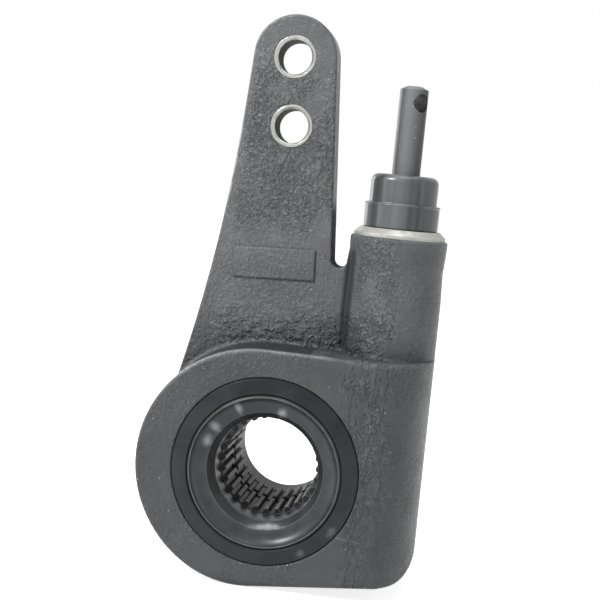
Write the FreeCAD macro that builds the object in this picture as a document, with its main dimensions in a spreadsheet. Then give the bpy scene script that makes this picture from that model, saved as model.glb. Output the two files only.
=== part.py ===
import FreeCAD, Part
import math
import os
import re

import Sketcher
from FreeCAD import Placement, Rotation, Vector

# Rod-type automatic brake slack adjuster, in millimetres.
# The origin is on the axis of the splined bore, half way through the casting.
# Z runs up along the worm, X points from the bore to the worm, and -Y is the front.

doc = FreeCAD.newDocument("SlackAdjuster")
sheet = doc.addObject("Spreadsheet::Sheet", "Sizes")

SIZES = {
    # casting, the round boss and its heel
    "boss_half": 26.0,
    "boss_radius": 44.9,
    "boss_shift": 4.2,
    "boss_edge_round": 1.6,
    "heel_step": 4.9,
    "sole_lift": 1.3,
    "sole_slope": 7.1,
    "toe_round": 8.5,
    "flank_reach": 18.1,
    # casting, the arm
    "arm_lean": 2.3,
    "arm_thick": 12.2,
    "arm_tip_radius": 15.7,
    "arm_tip_slope": 6.5,
    "arm_edge_round": 0.9,
    "arm_waist_height": 136.0,
    "arm_foot_angle": 30.8,
    "arm_foot_inset": 1.25,
    "arm_flare_radius": 620.0,
    "arm_shoulder_right": 17.25,
    "arm_shoulder_height": 99.0,
    "hole_height": 127.0,
    "hole_spacing": 25.4,
    "slot_inset": 2.85,
    "slot_height": 78.25,
    "slot_round": 2.9,
    "slot_flare": 1.2,
    "junction_round": 1.5,
    # casting, the worm tube
    "tube_radius": 18.0,
    "tube_neck": 17.6,
    "tube_lip": 18.2,
    "tube_neck_drop": 12.0,
    "tube_lip_height": 3.0,
    "tube_top": 89.3,
    "tube_edge_break": 0.6,
    # clevis bushings
    "pin_bore_radius": 6.35,
    "bushing_radius": 7.94,
    "bushing_proud": 0.35,
    "bushing_bore_break": 0.7,
    "bushing_rim_break": 0.25,
    # worm set
    "gear_module": 2.25,
    "gear_teeth": 26,
    "gear_half_width": 11.0,
    "worm_pitch_radius": 9.5,
    "worm_half_length": 16.0,
    "thread_sink": 0.34,
    "pressure_angle": 20.0,
    "mesh_backlash": 0.4,
    "tooth_tip_share": 1.0,
    "tooth_root_share": 1.25,
    # hub of the worm gear and its splined bore
    "hub_step": 0.7,
    "hub_front_proud": 1.6,
    "hub_back_proud": 6.0,
    "hub_rim_break": 0.7,
    "dish_rim": 0.75,
    "dish_width": 5.9,
    "dish_depth": 3.4,
    "dish_arc": 6.5,
    "cone_inner_radius": 19.5,
    "cone_depth": 3.2,
    "undercut_radius": 20.2,
    "undercut_width": 0.9,
    "spline_set_back": 8.6,
    "spline_teeth": 28,
    "spline_root_radius": 19.05,
    "spline_tip_radius": 17.35,
    "spline_root_share": 0.66,
    "spline_tip_share": 0.36,
    "spline_backing": 1.5,
    "spline_groove_start": 3.0,
    "spline_groove_width": 3.2,
    "spline_groove_radius": 19.6,
    "spline_end": 20.0,
    "land_radius": 18.8,
    "land_break": 0.6,
    # cover, washers and seals about the gear
    "cover_width": 6.45,
    "cover_slope": 1.2,
    "cover_rim_break": 0.8,
    "cover_inner_break": 0.6,
    "seal_section": 1.5,
    "seal_width": 2.0,
    "seal_depth": 3.0,
    "washer_thick": 1.1,
    "running_gap": 0.1,
    "fit_gap": 0.02,
    "chamber_gap": 0.7,
    # worm shaft and its lower bearing
    "worm_bore_gap": 0.35,
    "journal_radius": 7.0,
    "lower_bushing_radius": 10.5,
    "lower_bushing_length": 14.5,
    "lower_seal_length": 2.5,
    "hex_across": 10.0,
    "hex_length": 4.0,
    "hub_end_gap": 0.3,
    # one-way clutch and drive sleeve
    "clutch_radius": 8.5,
    "clutch_hub_length": 9.0,
    "clutch_wire": 1.5,
    "clutch_wire_height": 1.8,
    "clutch_turns": 7.0,
    "clutch_gap": 0.06,
    "sleeve_flange_thick": 2.0,
    "sleeve_radius": 9.5,
    "sleeve_bore_gap": 0.3,
    "slot_lead": 60.0,
    "slot_rise": 8.6,
    "slot_reach": 0.42,
    # actuator rod
    "rod_radius": 5.3,
    "rod_stroke": 12.0,
    "rod_top": 145.5,
    "rod_top_break": 1.2,
    "rod_hole_radius": 3.5,
    "rod_hole_drop": 6.1,
    "rod_hole_turn": 46.0,
    "pin_radius": 2.0,
    "pin_height": 44.0,
    "pin_cover": 3.2,
    "pin_end_gap": 0.3,
    "sleeve_above_pin": 3.0,
    "seat_gap": 1.6,
    "seat_thick": 1.6,
    "seat_radius": 10.6,
    "clip_thick": 1.0,
    "clip_radius": 6.4,
    "clip_groove": 0.5,
    # return spring
    "spring_radius": 8.6,
    "spring_wire": 0.85,
    "spring_turns": 4.5,
    "spring_end_gap": 0.05,
    # gland, wiper and boot
    "gland_depth": 5.5,
    "gland_flange_radius": 17.2,
    "gland_top_radius": 14.8,
    "gland_skirt": 1.3,
    "gland_height": 3.3,
    "gland_bore_gap": 0.4,
    "wiper_radius": 7.8,
    "wiper_length": 3.2,
    "gland_ring_section": 1.4,
    "gland_ring_width": 1.8,
    "boot_radius": 13.9,
    "boot_step_height": 9.3,
    "boot_step_radius": 12.6,
    "boot_bead": 0.3,
    "boot_bead_height": 0.9,
    "boot_height": 20.1,
    "boot_shoulder": 2.8,
    "boot_foot_round": 0.8,
    "boot_wall": 2.0,
    "boot_lip_gap": 0.1,
    # grease fitting on the back
    "fitting_shank_radius": 3.0,
    "fitting_height": 4.0,
    "fitting_hex_across": 8.0,
    "fitting_hex_thick": 3.0,
    "fitting_neck_radius": 1.9,
    "fitting_head_radius": 2.7,
    "fitting_head_length": 4.0,
    "fitting_mouth_radius": 0.7,
    "fitting_length": 9.0,
    "fitting_bore_radius": 1.1,
    "fitting_ball_radius": 1.0,
    "fitting_ball_drop": 1.35,
}


def fill_sheet():
    """Writes the driving sizes into the sheet, one alias each."""
    for row, (alias, number) in enumerate(SIZES.items(), start=1):
        sheet.set(f"A{row}", alias)
        sheet.set(f"B{row}", str(number))
        sheet.setAlias(f"B{row}", alias)
    doc.recompute()


# Values that follow from the driving sizes, written once in the sheet's own words.
DERIVED = {
    "gear_pitch_radius": "gear_module * gear_teeth / 2",
    "gear_tip_radius": "gear_pitch_radius + gear_module * tooth_tip_share",
    "gear_root_radius": "gear_pitch_radius - gear_module * tooth_root_share",
    "worm_tip_radius": "worm_pitch_radius + gear_module * tooth_tip_share",
    "worm_root_radius": "worm_pitch_radius - gear_module * tooth_root_share",
    "worm_x": "gear_pitch_radius + worm_pitch_radius",
    "worm_bore_radius": "worm_tip_radius + worm_bore_gap",
    "chamber_half": "gear_half_width + washer_thick + 2 * running_gap",
    "chamber_radius": "gear_tip_radius + chamber_gap",
    "hub_radius": "gear_pitch_radius - hub_step",
    "dish_outer_radius": "hub_radius - dish_rim",
    "dish_inner_radius": "dish_outer_radius - dish_width",
    "cover_radius": "hub_radius + cover_width",
    "hub_bore_radius": "hub_radius + running_gap",
    "hub_front": "-boss_half - hub_front_proud",
    "hub_back": "boss_half + hub_back_proud",
    "undercut_end": "hub_front + dish_depth + cone_depth + undercut_width",
    "spline_front": "undercut_end + spline_set_back",
    "hub_top": "worm_half_length + clutch_hub_length",
    "sleeve_bottom": "hub_top + hub_end_gap",
    "sleeve_flange": "sleeve_bottom + clutch_hub_length",
    "sleeve_top": "pin_height + rod_stroke + sleeve_above_pin",
    "seat_bottom": "sleeve_top + seat_gap",
    "seat_top": "seat_bottom + seat_thick",
    "gland_bottom": "tube_top - gland_depth",
    "boot_bottom": "tube_top + gland_height",
    "boot_top": "boot_bottom + boot_height",
    "sole_drop": "boss_radius - sole_lift",
    "sole_reach": "sole_drop * cos(sole_slope) + boss_shift * sin(sole_slope)",
    "heel_round": "boss_radius - heel_step",
    "heel_lift": "(sole_reach - heel_round) / heel_step",
    "heel_side": "sqrt(1 - heel_lift ^ 2)",
    "heel_across": "-(heel_side * cos(sole_slope) - heel_lift * sin(sole_slope))",
    "heel_down": "-(heel_lift * cos(sole_slope) + heel_side * sin(sole_slope))",
    "flank_x": "worm_x + flank_reach",
    "toe_centre_height": "(flank_x - toe_round) * tan(sole_slope) - sole_drop"
                         " + toe_round / cos(sole_slope)",
    "arm_half": "arm_thick / 2",
    "slot_left": "worm_x - tube_radius - slot_inset",
    "tip_tangent_height": "upper_hole_height + arm_tip_radius * sin(arm_tip_slope)",
    "arm_waist_x": "-arm_tip_radius * cos(arm_tip_slope)"
                   " - (tip_tangent_height - arm_waist_height) * tan(arm_tip_slope)",
    "arm_foot_x": "-boss_shift - (boss_radius - arm_foot_inset) * cos(arm_foot_angle)",
    "arm_foot_height": "(boss_radius - arm_foot_inset) * sin(arm_foot_angle)",
    "upper_hole_height": "hole_height + hole_spacing",
    "thrust_bottom": "-worm_half_length - running_gap - washer_thick",
    "lower_bushing_top": "thrust_bottom - running_gap",
    "lower_bushing_bottom": "lower_bushing_top - lower_bushing_length",
    "lower_seal_bottom": "lower_bushing_bottom - lower_seal_length",
}


def expand(text):
    """Turns words into references to the sheet, after putting derived values in full."""
    def swap(match):
        word = match.group(0)
        if word in DERIVED:
            return "(" + expand(DERIVED[word]) + ")"
        if word in SIZES:
            return "Sizes." + word
        return word
    return re.sub(r"[a-z_]+", swap, text)


def value(text):
    """Gives the present number of an expression."""
    return float(sheet.evalExpression(expand(text)))


def bind(thing, **expressions):
    """Ties properties to the sheet; place_x, place_y and place_z set the position."""
    for name, text in expressions.items():
        path = name.replace("place_", ".Placement.Base.")
        thing.setExpression(path, expand(text))


def draw(sketch, outline):
    """Draws a closed outline whose corners and bends follow the sheet.

    Each corner is (across, up) or (across, up, turn, radius), where turn is +1 or -1
    for an arc to the next corner that runs against or with the clock.
    """
    spots = [Vector(value(corner[0]), value(corner[1]), 0) for corner in outline]
    ends = []
    for number, corner in enumerate(outline):
        first, last = spots[number], spots[(number + 1) % len(spots)]
        if len(corner) == 2:
            sketch.addGeometry(Part.LineSegment(first, last))
            ends.append((1, 2))
            continue
        turn, radius = corner[2], value(corner[3])
        chord = last - first
        rise = math.sqrt(max(radius * radius - chord.Length * chord.Length / 4, 0.0))
        side = Vector(-chord.y, chord.x, 0).normalize() * turn
        centre = (first + last) * 0.5 + side * rise
        begin, finish = (first, last) if turn > 0 else (last, first)
        start = math.atan2(begin.y - centre.y, begin.x - centre.x)
        stop = math.atan2(finish.y - centre.y, finish.x - centre.x)
        if stop < start:
            stop += 2 * math.pi
        circle = Part.Circle(centre, Vector(0, 0, 1), radius)
        sketch.addGeometry(Part.ArcOfCircle(circle, start, stop))
        ends.append((1, 2) if turn > 0 else (2, 1))
    for number, corner in enumerate(outline):
        after = (number + 1) % len(outline)
        joint = Sketcher.Constraint("Coincident", number, ends[number][1], after, ends[after][0])
        sketch.addConstraint(joint)
        for kind, text, axis in (("DistanceX", corner[0], -2), ("DistanceY", corner[1], -1)):
            if text == "0":
                on_axis = Sketcher.Constraint("PointOnObject", number, ends[number][0], axis)
                sketch.addConstraint(on_axis)
                continue
            reach = Sketcher.Constraint(kind, -1, 1, number, ends[number][0], value(text))
            index = sketch.addConstraint(reach)
            sketch.setExpression(f"Constraints[{index}]", expand(text))
        if len(corner) > 2:
            bend = Sketcher.Constraint("Radius", number, value(corner[3]))
            index = sketch.addConstraint(bend)
            sketch.setExpression(f"Constraints[{index}]", expand(corner[3]))


def turned(label, axis, outline, at_worm=False):
    """Makes a body turned about Y or Z; each corner is (radius, place along the axis)."""
    body = doc.addObject("PartDesign::Body", label)
    sketch = body.newObject("Sketcher::SketchObject", label + "_profile")
    role = "XZ_Plane" if axis == "Z" else "XY_Plane"
    plane = [item for item in body.Origin.OriginFeatures if item.Role == role][0]
    sketch.AttachmentSupport = [(plane, "")]
    sketch.MapMode = "FlatFace"
    draw(sketch, outline)
    doc.recompute()
    turn = body.newObject("PartDesign::Revolution", label + "_turn")
    turn.Profile = sketch
    turn.ReferenceAxis = (sketch, ["V_Axis"])
    turn.Angle = 360
    sketch.Visibility = False
    if at_worm:
        bind(body, place_x="worm_x")
    return body


def ring(label, axis, inner, outer, start, end, at_worm=False):
    """Makes a plain ring."""
    corners = [(inner, start), (outer, start), (outer, end), (inner, end)]
    return turned(label, axis, corners, at_worm)


def drill(label, axis, radius, start, end, across="0", up="0"):
    """Makes a cylinder along Y or Z from start to end, for a cut or a plain pin."""
    tool = doc.addObject("Part::Cylinder", label)
    bind(tool, Radius=radius, Height=f"({end}) - ({start})")
    if axis == "Y":
        tool.Placement = Placement(Vector(), Rotation(Vector(1, 0, 0), -90))
        bind(tool, place_x=across, place_y=start, place_z=up)
    else:
        bind(tool, place_x=across, place_z=start)
    return tool


def fuse(label, pieces):
    """Joins solids of one casting or machined piece."""
    joined = doc.addObject("Part::MultiFuse", label)
    joined.Shapes = pieces
    joined.Refine = True
    return joined


def cut(label, base, tools):
    """Cuts tools away from a solid."""
    current = base
    for number, tool in enumerate(tools):
        last = number == len(tools) - 1
        step = doc.addObject("Part::Cut", label if last else f"{label}_step_{number + 1}")
        step.Base = current
        step.Tool = tool
        current = step
    return current


def prism(label, outline, half):
    """Extrudes an outline in the XZ plane both ways along Y."""
    sketch = doc.addObject("Sketcher::SketchObject", label + "_outline")
    sketch.Placement = Placement(Vector(), Rotation(Vector(1, 0, 0), 90))
    draw(sketch, outline)
    block = doc.addObject("Part::Extrusion", label)
    block.Base = sketch
    block.DirMode = "Custom"
    block.Dir = Vector(0, 1, 0)
    block.Solid = True
    bind(block, LengthFwd=half, LengthRev=half)
    return block


def rounded(label, base, radius, keep):
    """Rounds those edges of a solid that the keep function picks."""
    doc.recompute()
    edges = [number for number, edge in enumerate(base.Shape.Edges, start=1) if keep(edge)]
    round_off = doc.addObject("Part::Fillet", label)
    round_off.Base = base
    round_off.Edges = [(number, value(radius), value(radius)) for number in edges]
    return round_off


def shape_feature(label, shape, at_worm=False):
    """Stores a shape that Part's own functions made, then sets its place."""
    feature = doc.addObject("Part::Feature", label)
    feature.Shape = shape
    if at_worm:
        bind(feature, place_x="worm_x")
    return feature


# Casting


def on_rim(distance):
    """Picks edges that lie wholly on the front or back plane at this distance."""
    def keep(edge):
        box = edge.BoundBox
        flat = box.YLength < 1e-4
        return flat and abs(abs(box.YMin) - distance) < 1e-4
    return keep


def boss_block():
    """Makes the round boss with its heel, sole and toe, before the flank is shaped."""
    outline = [
        ("-boss_shift", "boss_radius", 1, "boss_radius"),
        ("boss_radius * heel_across - boss_shift", "boss_radius * heel_down", 1, "heel_round"),
        ("heel_step * heel_across + heel_round * sin(sole_slope) - boss_shift",
         "heel_step * heel_down - heel_round * cos(sole_slope)"),
        ("flank_x - toe_round + toe_round * sin(sole_slope)",
         "toe_centre_height - toe_round * cos(sole_slope)", 1, "toe_round"),
        ("flank_x", "toe_centre_height"),
        ("flank_x", "boss_radius"),
    ]
    block = prism("boss_prism", outline, "boss_half")
    return rounded("boss_soft", block, "boss_edge_round", on_rim(value("boss_half")))


def boss_plan():
    """Makes the plan of the boss: straight across to the worm, then half an ellipse."""
    plan = doc.addObject("Part::Box", "plan_box")
    bind(plan, Length="worm_x + 2 * boss_radius", Width="2 * boss_half", Height="4 * boss_radius")
    bind(plan, place_x="-2 * boss_radius", place_y="-boss_half", place_z="-2 * boss_radius")
    major, minor = value("boss_half"), value("flank_reach")
    curve = Part.Ellipse(Vector(0, major, 0), Vector(minor, 0, 0), Vector())
    face = Part.Face(Part.Wire(curve.toShape()))
    height = value("4 * boss_radius")
    flank = shape_feature("plan_flank", face.extrude(Vector(0, 0, height)))
    bind(flank, place_x="worm_x", place_z="-2 * boss_radius")
    return fuse("boss_plan", [plan, flank])


def arm_plate():
    """Makes the arm in its own upright frame, then leans it over to the left."""
    outline = [
        ("arm_foot_x", "arm_foot_height", 1, "arm_flare_radius"),
        ("arm_waist_x", "arm_waist_height"),
        ("-arm_tip_radius * cos(arm_tip_slope)", "tip_tangent_height", -1, "arm_tip_radius"),
        ("0", "upper_hole_height + arm_tip_radius", -1, "arm_tip_radius"),
        ("arm_tip_radius", "upper_hole_height"),
        ("arm_shoulder_right", "arm_shoulder_height"),
        ("slot_left", "slot_height", 1, "slot_round"),
        ("slot_left + slot_round", "slot_height - slot_round", 1, "slot_round"),
        ("slot_left + 2 * slot_round", "slot_height"),
        ("slot_left + 2 * slot_round + slot_flare", "tube_top - tube_lip_height"),
        ("worm_x", "tube_top - tube_lip_height"),
        ("worm_x", "arm_foot_height"),
    ]
    plate = prism("arm_prism", outline, "arm_half")
    rim = on_rim(value("arm_half"))

    def outer_edge(edge):
        middle = edge.CenterOfMass
        above_foot = middle.z > value("arm_foot_height + arm_edge_round")
        return rim(edge) and above_foot and middle.x < value("slot_left + 2 * slot_round + slot_flare")

    soft = rounded("arm_soft", plate, "arm_edge_round", outer_edge)
    soft.Placement = Placement(Vector(), Rotation(Vector(0, -1, 0), value("arm_lean")))
    soft.setExpression("Placement.Rotation.Angle", expand("arm_lean"))
    return soft


def tube_body():
    """Makes the upper tube of the casting with its neck and lip."""
    outline = [
        ("0", "arm_foot_height"),
        ("tube_radius", "arm_foot_height"),
        ("tube_radius", "tube_top - 2 * tube_neck_drop"),
        ("tube_neck", "tube_top - tube_neck_drop"),
        ("tube_lip", "tube_top - tube_lip_height"),
        ("tube_lip", "tube_top - tube_edge_break"),
        ("tube_lip - tube_edge_break", "tube_top"),
        ("0", "tube_top"),
    ]
    return turned("tube_turned", "Z", outline, at_worm=True)


def hole_place(height):
    """Gives the place of an arm hole, leaned over with the arm."""
    return f"-({height}) * sin(arm_lean)", f"({height}) * cos(arm_lean)"


def in_junction(edge):
    """Picks the corners where the faces of the arm meet the top of the boss."""
    box, slack = edge.BoundBox, value("fit_gap")
    on_face = box.YLength < slack and abs(abs(box.YMin) - value("arm_half")) < slack
    above_foot = box.ZMin > value("arm_foot_height - 2 * slot_round")
    return on_face and above_foot and box.ZMax < value("boss_radius") + slack


def housing():
    """Makes the cast housing and bores it."""
    overlapping = [boss_block(), boss_plan()]
    boss = doc.addObject("Part::MultiCommon", "boss")
    boss.Shapes = overlapping
    joined = fuse("casting", [boss, arm_plate(), tube_body()])
    cast = rounded("casting_soft", joined, "junction_round", in_junction)
    low_x, low_z = hole_place("hole_height")
    high_x, high_z = hole_place("upper_hole_height")
    cover_seat = turned("cover_seat", "Y", [
        ("0", "-2 * boss_half"),
        ("cover_radius + cover_rim_break / 2", "-2 * boss_half"),
        ("cover_radius + cover_rim_break / 2", "-boss_half"),
        ("cover_radius", "-boss_half + cover_rim_break / 2"),
        ("cover_radius", "-chamber_half"),
        ("chamber_radius", "-chamber_half"),
        ("chamber_radius", "chamber_half"),
        ("hub_bore_radius", "chamber_half"),
        ("hub_bore_radius", "boss_half - seal_depth - seal_width"),
        ("hub_radius + seal_section", "boss_half - seal_depth - seal_width"),
        ("hub_radius + seal_section", "boss_half - seal_depth"),
        ("hub_bore_radius", "boss_half - seal_depth"),
        ("hub_bore_radius", "boss_half"),
        ("hub_bore_radius", "2 * boss_half"),
        ("0", "2 * boss_half"),
    ])
    worm_bore = turned("worm_bore", "Z", [
        ("0", "-2 * boss_radius"),
        ("lower_bushing_radius", "-2 * boss_radius"),
        ("lower_bushing_radius", "thrust_bottom - running_gap"),
        ("worm_bore_radius", "thrust_bottom - running_gap"),
        ("worm_bore_radius", "gland_bottom"),
        ("worm_bore_radius", "2 * tube_top"),
        ("0", "2 * tube_top"),
    ], at_worm=True)
    tools = [
        cover_seat,
        worm_bore,
        drill("low_hole", "Y", "bushing_radius", "-boss_half", "boss_half", low_x, low_z),
        drill("high_hole", "Y", "bushing_radius", "-boss_half", "boss_half", high_x, high_z),
        drill("grease_hole", "Y", "fitting_shank_radius", "worm_root_radius", "2 * boss_half",
              "worm_x", "fitting_height"),
    ]
    return cut("housing", cast, tools)


def clevis_bushings():
    """Makes the two bushings for the clevis pin."""
    names = []
    for label, height in (("bushing_lower", "hole_height"), ("bushing_upper", "upper_hole_height")):
        face = "arm_half + bushing_proud"
        across, up = hole_place(height)
        bushing = turned(label, "Y", [
            ("pin_bore_radius", f"-({face} - bushing_bore_break)"),
            ("pin_bore_radius + bushing_bore_break", f"-({face})"),
            ("bushing_radius - fit_gap - bushing_rim_break", f"-({face})"),
            ("bushing_radius - fit_gap", f"-({face} - bushing_rim_break)"),
            ("bushing_radius - fit_gap", f"{face} - bushing_rim_break"),
            ("bushing_radius - fit_gap - bushing_rim_break", face),
            ("pin_bore_radius + bushing_bore_break", face),
            ("pin_bore_radius", f"{face} - bushing_bore_break"),
        ])
        bind(bushing, place_x=across, place_z=up)
        names.append(bushing)
    return names


# Worm gear with its splined bore


def gear_outline(turn):
    """Gives the toothed outline of the gear at one end, turned by an angle in radians."""
    teeth = int(value("gear_teeth"))
    pitch, tip = value("gear_pitch_radius"), value("gear_tip_radius")
    root = value("gear_root_radius")
    slope = math.radians(value("pressure_angle"))
    base = pitch * math.cos(slope)
    thick = math.pi * value("gear_module") / 2 - value("mesh_backlash") / 2
    half_pitch_angle = thick / (2 * pitch)

    def involute(angle):
        return math.tan(angle) - angle

    def half_angle(radius):
        if radius <= base:
            return half_pitch_angle + involute(slope)
        return half_pitch_angle + involute(slope) - involute(math.acos(base / radius))

    rise = [root, max(base, root + value("fit_gap")), (base + pitch) / 2, pitch, (pitch + tip) / 2, tip]
    flank = [(radius, half_angle(radius)) for radius in rise]
    corners = []
    for tooth in range(teeth):
        # The first gap faces the worm.
        middle = (tooth + 0.5) * 2 * math.pi / teeth + turn
        for radius, half in flank:
            corners.append((radius, middle - half))
        for radius, half in reversed(flank):
            corners.append((radius, middle + half))
    # A turn about +Y carries +X towards -Z.
    points = [Vector(radius * math.cos(angle), 0, -radius * math.sin(angle))
              for radius, angle in corners]
    return points


def gear_teeth():
    """Lofts the toothed ring with the slope of the worm's thread."""
    half = value("gear_half_width")
    lead = math.atan(value("gear_module") / (2 * value("worm_pitch_radius")))
    swing = math.tan(lead) * half / value("gear_pitch_radius")
    wires = []
    for place, turn in ((-half, -swing), (half, swing)):
        points = [point + Vector(0, place, 0) for point in gear_outline(turn)]
        wires.append(Part.makePolygon(points + [points[0]]))
    disc = Part.makeLoft(wires, True, True)
    inner = value("gear_root_radius") - value("gear_module")
    bore = Part.makeCylinder(inner, 4 * half, Vector(0, -2 * half, 0), Vector(0, 1, 0))
    return shape_feature("gear_teeth", disc.cut(bore))


def spline_ring(label, start, end):
    """Makes one run of internal teeth between two places along the bore."""
    teeth = int(value("spline_teeth"))
    root, tip = value("spline_root_radius"), value("spline_tip_radius")
    step = 2 * math.pi / teeth
    root_half = step * value("spline_root_share") / 2
    tip_half = step * value("spline_tip_share") / 2
    points = []
    for tooth in range(teeth):
        middle = tooth * step
        for radius, angle in ((root, -root_half), (tip, -tip_half), (tip, tip_half), (root, root_half)):
            spot = middle + angle
            points.append(Vector(radius * math.cos(spot), value(start), radius * math.sin(spot)))
    inner = Part.Wire(Part.makePolygon(points + [points[0]]))
    backing = root + 2 * value("spline_backing")
    rim = Part.Circle(Vector(0, value(start), 0), Vector(0, 1, 0), backing)
    run = Vector(0, value(end) - value(start), 0)
    solid = Part.Face(Part.Wire(rim.toShape())).extrude(run)
    hole = Part.Face(inner).extrude(run)
    return shape_feature(label, solid.cut(hole))


def worm_gear():
    """Makes the gear: a turned hub, its outer teeth and two runs of spline."""
    backed = "spline_root_radius + spline_backing"
    groove_end = "spline_groove_start + spline_groove_width"
    hub = turned("gear_hub", "Y", [
        ("hub_radius", "hub_front + hub_rim_break"),
        ("hub_radius", "-gear_half_width"),
        ("gear_root_radius - gear_module / 2", "-gear_half_width"),
        ("gear_root_radius - gear_module / 2", "gear_half_width"),
        ("hub_radius", "gear_half_width"),
        ("hub_radius", "hub_back - hub_rim_break"),
        ("hub_radius - hub_rim_break", "hub_back"),
        ("land_radius + land_break", "hub_back"),
        ("land_radius", "hub_back - land_break"),
        ("land_radius", "spline_end"),
        (backed, "spline_end"),
        (backed, groove_end),
        ("spline_groove_radius", groove_end),
        ("spline_groove_radius", "spline_groove_start"),
        (backed, "spline_groove_start"),
        (backed, "spline_front"),
        ("cone_inner_radius", "spline_front"),
        ("cone_inner_radius", "undercut_end"),
        ("undercut_radius", "undercut_end"),
        ("undercut_radius", "undercut_end - undercut_width"),
        ("cone_inner_radius", "undercut_end - undercut_width"),
        ("dish_inner_radius", "hub_front + dish_depth", -1, "dish_arc"),
        ("dish_outer_radius", "hub_front"),
    ])
    front = spline_ring("spline_front_run", "spline_front", "spline_groove_start")
    back = spline_ring("spline_back_run", groove_end, "spline_end")
    return fuse("worm_gear", [hub, gear_teeth(), front, back])


# Rings about the gear


def cover():
    """Makes the cover that closes the gear chamber at the front."""
    lift = "boss_half + cover_slope"
    return turned("gear_cover", "Y", [
        ("cover_radius - fit_gap", "-chamber_half"),
        ("cover_radius - fit_gap", "-boss_half + cover_rim_break"),
        ("cover_radius - cover_rim_break / 2", "-boss_half"),
        ("hub_bore_radius + cover_inner_break", f"-({lift})"),
        ("hub_bore_radius", f"-({lift}) + cover_inner_break"),
        ("hub_bore_radius", "-boss_half + seal_depth"),
        ("hub_radius + seal_section", "-boss_half + seal_depth"),
        ("hub_radius + seal_section", "-boss_half + seal_depth + seal_width"),
        ("hub_bore_radius", "-boss_half + seal_depth + seal_width"),
        ("hub_bore_radius", "-chamber_half"),
    ])


def gear_rings():
    """Makes the thrust washers and the hub seals on both sides of the gear."""
    washer_near = "gear_half_width + running_gap"
    washer_far = "gear_half_width + running_gap + washer_thick"
    inner, outer = "hub_bore_radius", "chamber_radius - running_gap"
    seal_outer = "hub_radius + seal_section - fit_gap"
    seal_inner = "hub_radius + fit_gap"
    shallow, deep = "boss_half - seal_depth - fit_gap", "boss_half - seal_depth - seal_width + fit_gap"
    return [
        ring("thrust_washer_front", "Y", inner, outer, f"-({washer_far})", f"-({washer_near})"),
        ring("thrust_washer_back", "Y", inner, outer, washer_near, washer_far),
        ring("hub_seal_front", "Y", seal_inner, seal_outer, f"-({shallow})", f"-({deep})"),
        ring("hub_seal_back", "Y", seal_inner, seal_outer, deep, shallow),
    ]


# Worm and its lower bearing


def worm_thread():
    """Sweeps the thread along its helix, with a crest that faces the gear at Z 0."""
    lead = math.pi * value("gear_module")
    slope = math.tan(math.radians(value("pressure_angle")))
    pitch, tip, root = value("worm_pitch_radius"), value("worm_tip_radius"), value("worm_root_radius")
    half = lead / 4 - value("mesh_backlash") / 4
    sink = value("thread_sink")
    turns = math.floor((2 * value("worm_half_length") - lead) / lead * 4) / 4
    length = turns * lead
    helix = Part.makeHelix(lead, length, pitch)
    corners = [
        Vector(root - sink, 0, -(half + (pitch - root + sink) * slope)),
        Vector(tip, 0, -(half - (tip - pitch) * slope)),
        Vector(tip, 0, half - (tip - pitch) * slope),
        Vector(root - sink, 0, half + (pitch - root + sink) * slope),
    ]
    profile = Part.makePolygon(corners + [corners[0]])
    thread = Part.Wire(helix.Edges).makePipeShell([profile], True, True)
    thread.translate(Vector(0, 0, -length / 2))
    # Half the turns below the middle, then half a turn more, so a crest faces the gear.
    thread.rotate(Vector(), Vector(0, 0, 1), 180 - math.degrees(turns * math.pi))
    return thread


def hexagon(label, across, start, end, axis="Z"):
    """Makes a hexagonal prism along Z or Y by its size across flats."""
    prism_body = doc.addObject("Part::Prism", label)
    prism_body.Polygon = 6
    bind(prism_body, Circumradius=f"({across}) / sqrt(3)", Height=f"({end}) - ({start})")
    if axis == "Y":
        prism_body.Placement = Placement(Vector(), Rotation(Vector(1, 0, 0), -90))
        bind(prism_body, place_x="worm_x", place_y=start, place_z="fitting_height")
    else:
        bind(prism_body, place_x="worm_x", place_z=start)
    return prism_body


def worm():
    """Makes the worm with its lower journal, adjusting hex and clutch hub."""
    shaft = turned("worm_shaft", "Z", [
        ("0", "lower_seal_bottom"),
        ("journal_radius", "lower_seal_bottom"),
        ("journal_radius", "-worm_half_length"),
        ("worm_root_radius + running_gap", "-worm_half_length"),
        ("worm_root_radius", "worm_half_length"),
        ("clutch_radius", "worm_half_length"),
        ("clutch_radius", "hub_top"),
        ("0", "hub_top"),
    ], at_worm=True)
    thread = shape_feature("worm_thread", worm_thread(), at_worm=True)
    hex_end = hexagon("adjusting_hex", "hex_across", "lower_seal_bottom - hex_length",
                      "lower_seal_bottom + hex_length")
    return fuse("worm", [shaft, thread, hex_end])


def worm_rings():
    """Makes the lower bushing, the thrust washer and the lower seal of the worm."""
    bore = "journal_radius + running_gap"
    seat = "lower_bushing_radius - fit_gap"
    return [
        ring("worm_bushing", "Z", bore, seat, "lower_bushing_bottom", "lower_bushing_top", True),
        ring("worm_thrust_washer", "Z", bore, "worm_pitch_radius + gear_module / 2",
             "thrust_bottom", "thrust_bottom + washer_thick", True),
        ring("worm_seal", "Z", "journal_radius + fit_gap", seat,
             "lower_seal_bottom", "lower_bushing_bottom - fit_gap", True),
    ]


# One-way clutch, drive sleeve and rod


def coil(label, radius, wire, height, turns, start, end):
    """Winds a coil of rectangular or square wire between two heights."""
    pitch = (value(end) - value(start) - height) / turns
    helix = Part.makeHelix(pitch, pitch * turns, radius)
    low, high = radius - wire / 2, radius + wire / 2
    corners = [
        Vector(low, 0, -height / 2),
        Vector(high, 0, -height / 2),
        Vector(high, 0, height / 2),
        Vector(low, 0, height / 2),
    ]
    profile = Part.makePolygon(corners + [corners[0]])
    winding = Part.Wire(helix.Edges).makePipeShell([profile], True, True)
    winding.translate(Vector(0, 0, value(start) + height / 2))
    return shape_feature(label, winding, at_worm=True)


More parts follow.
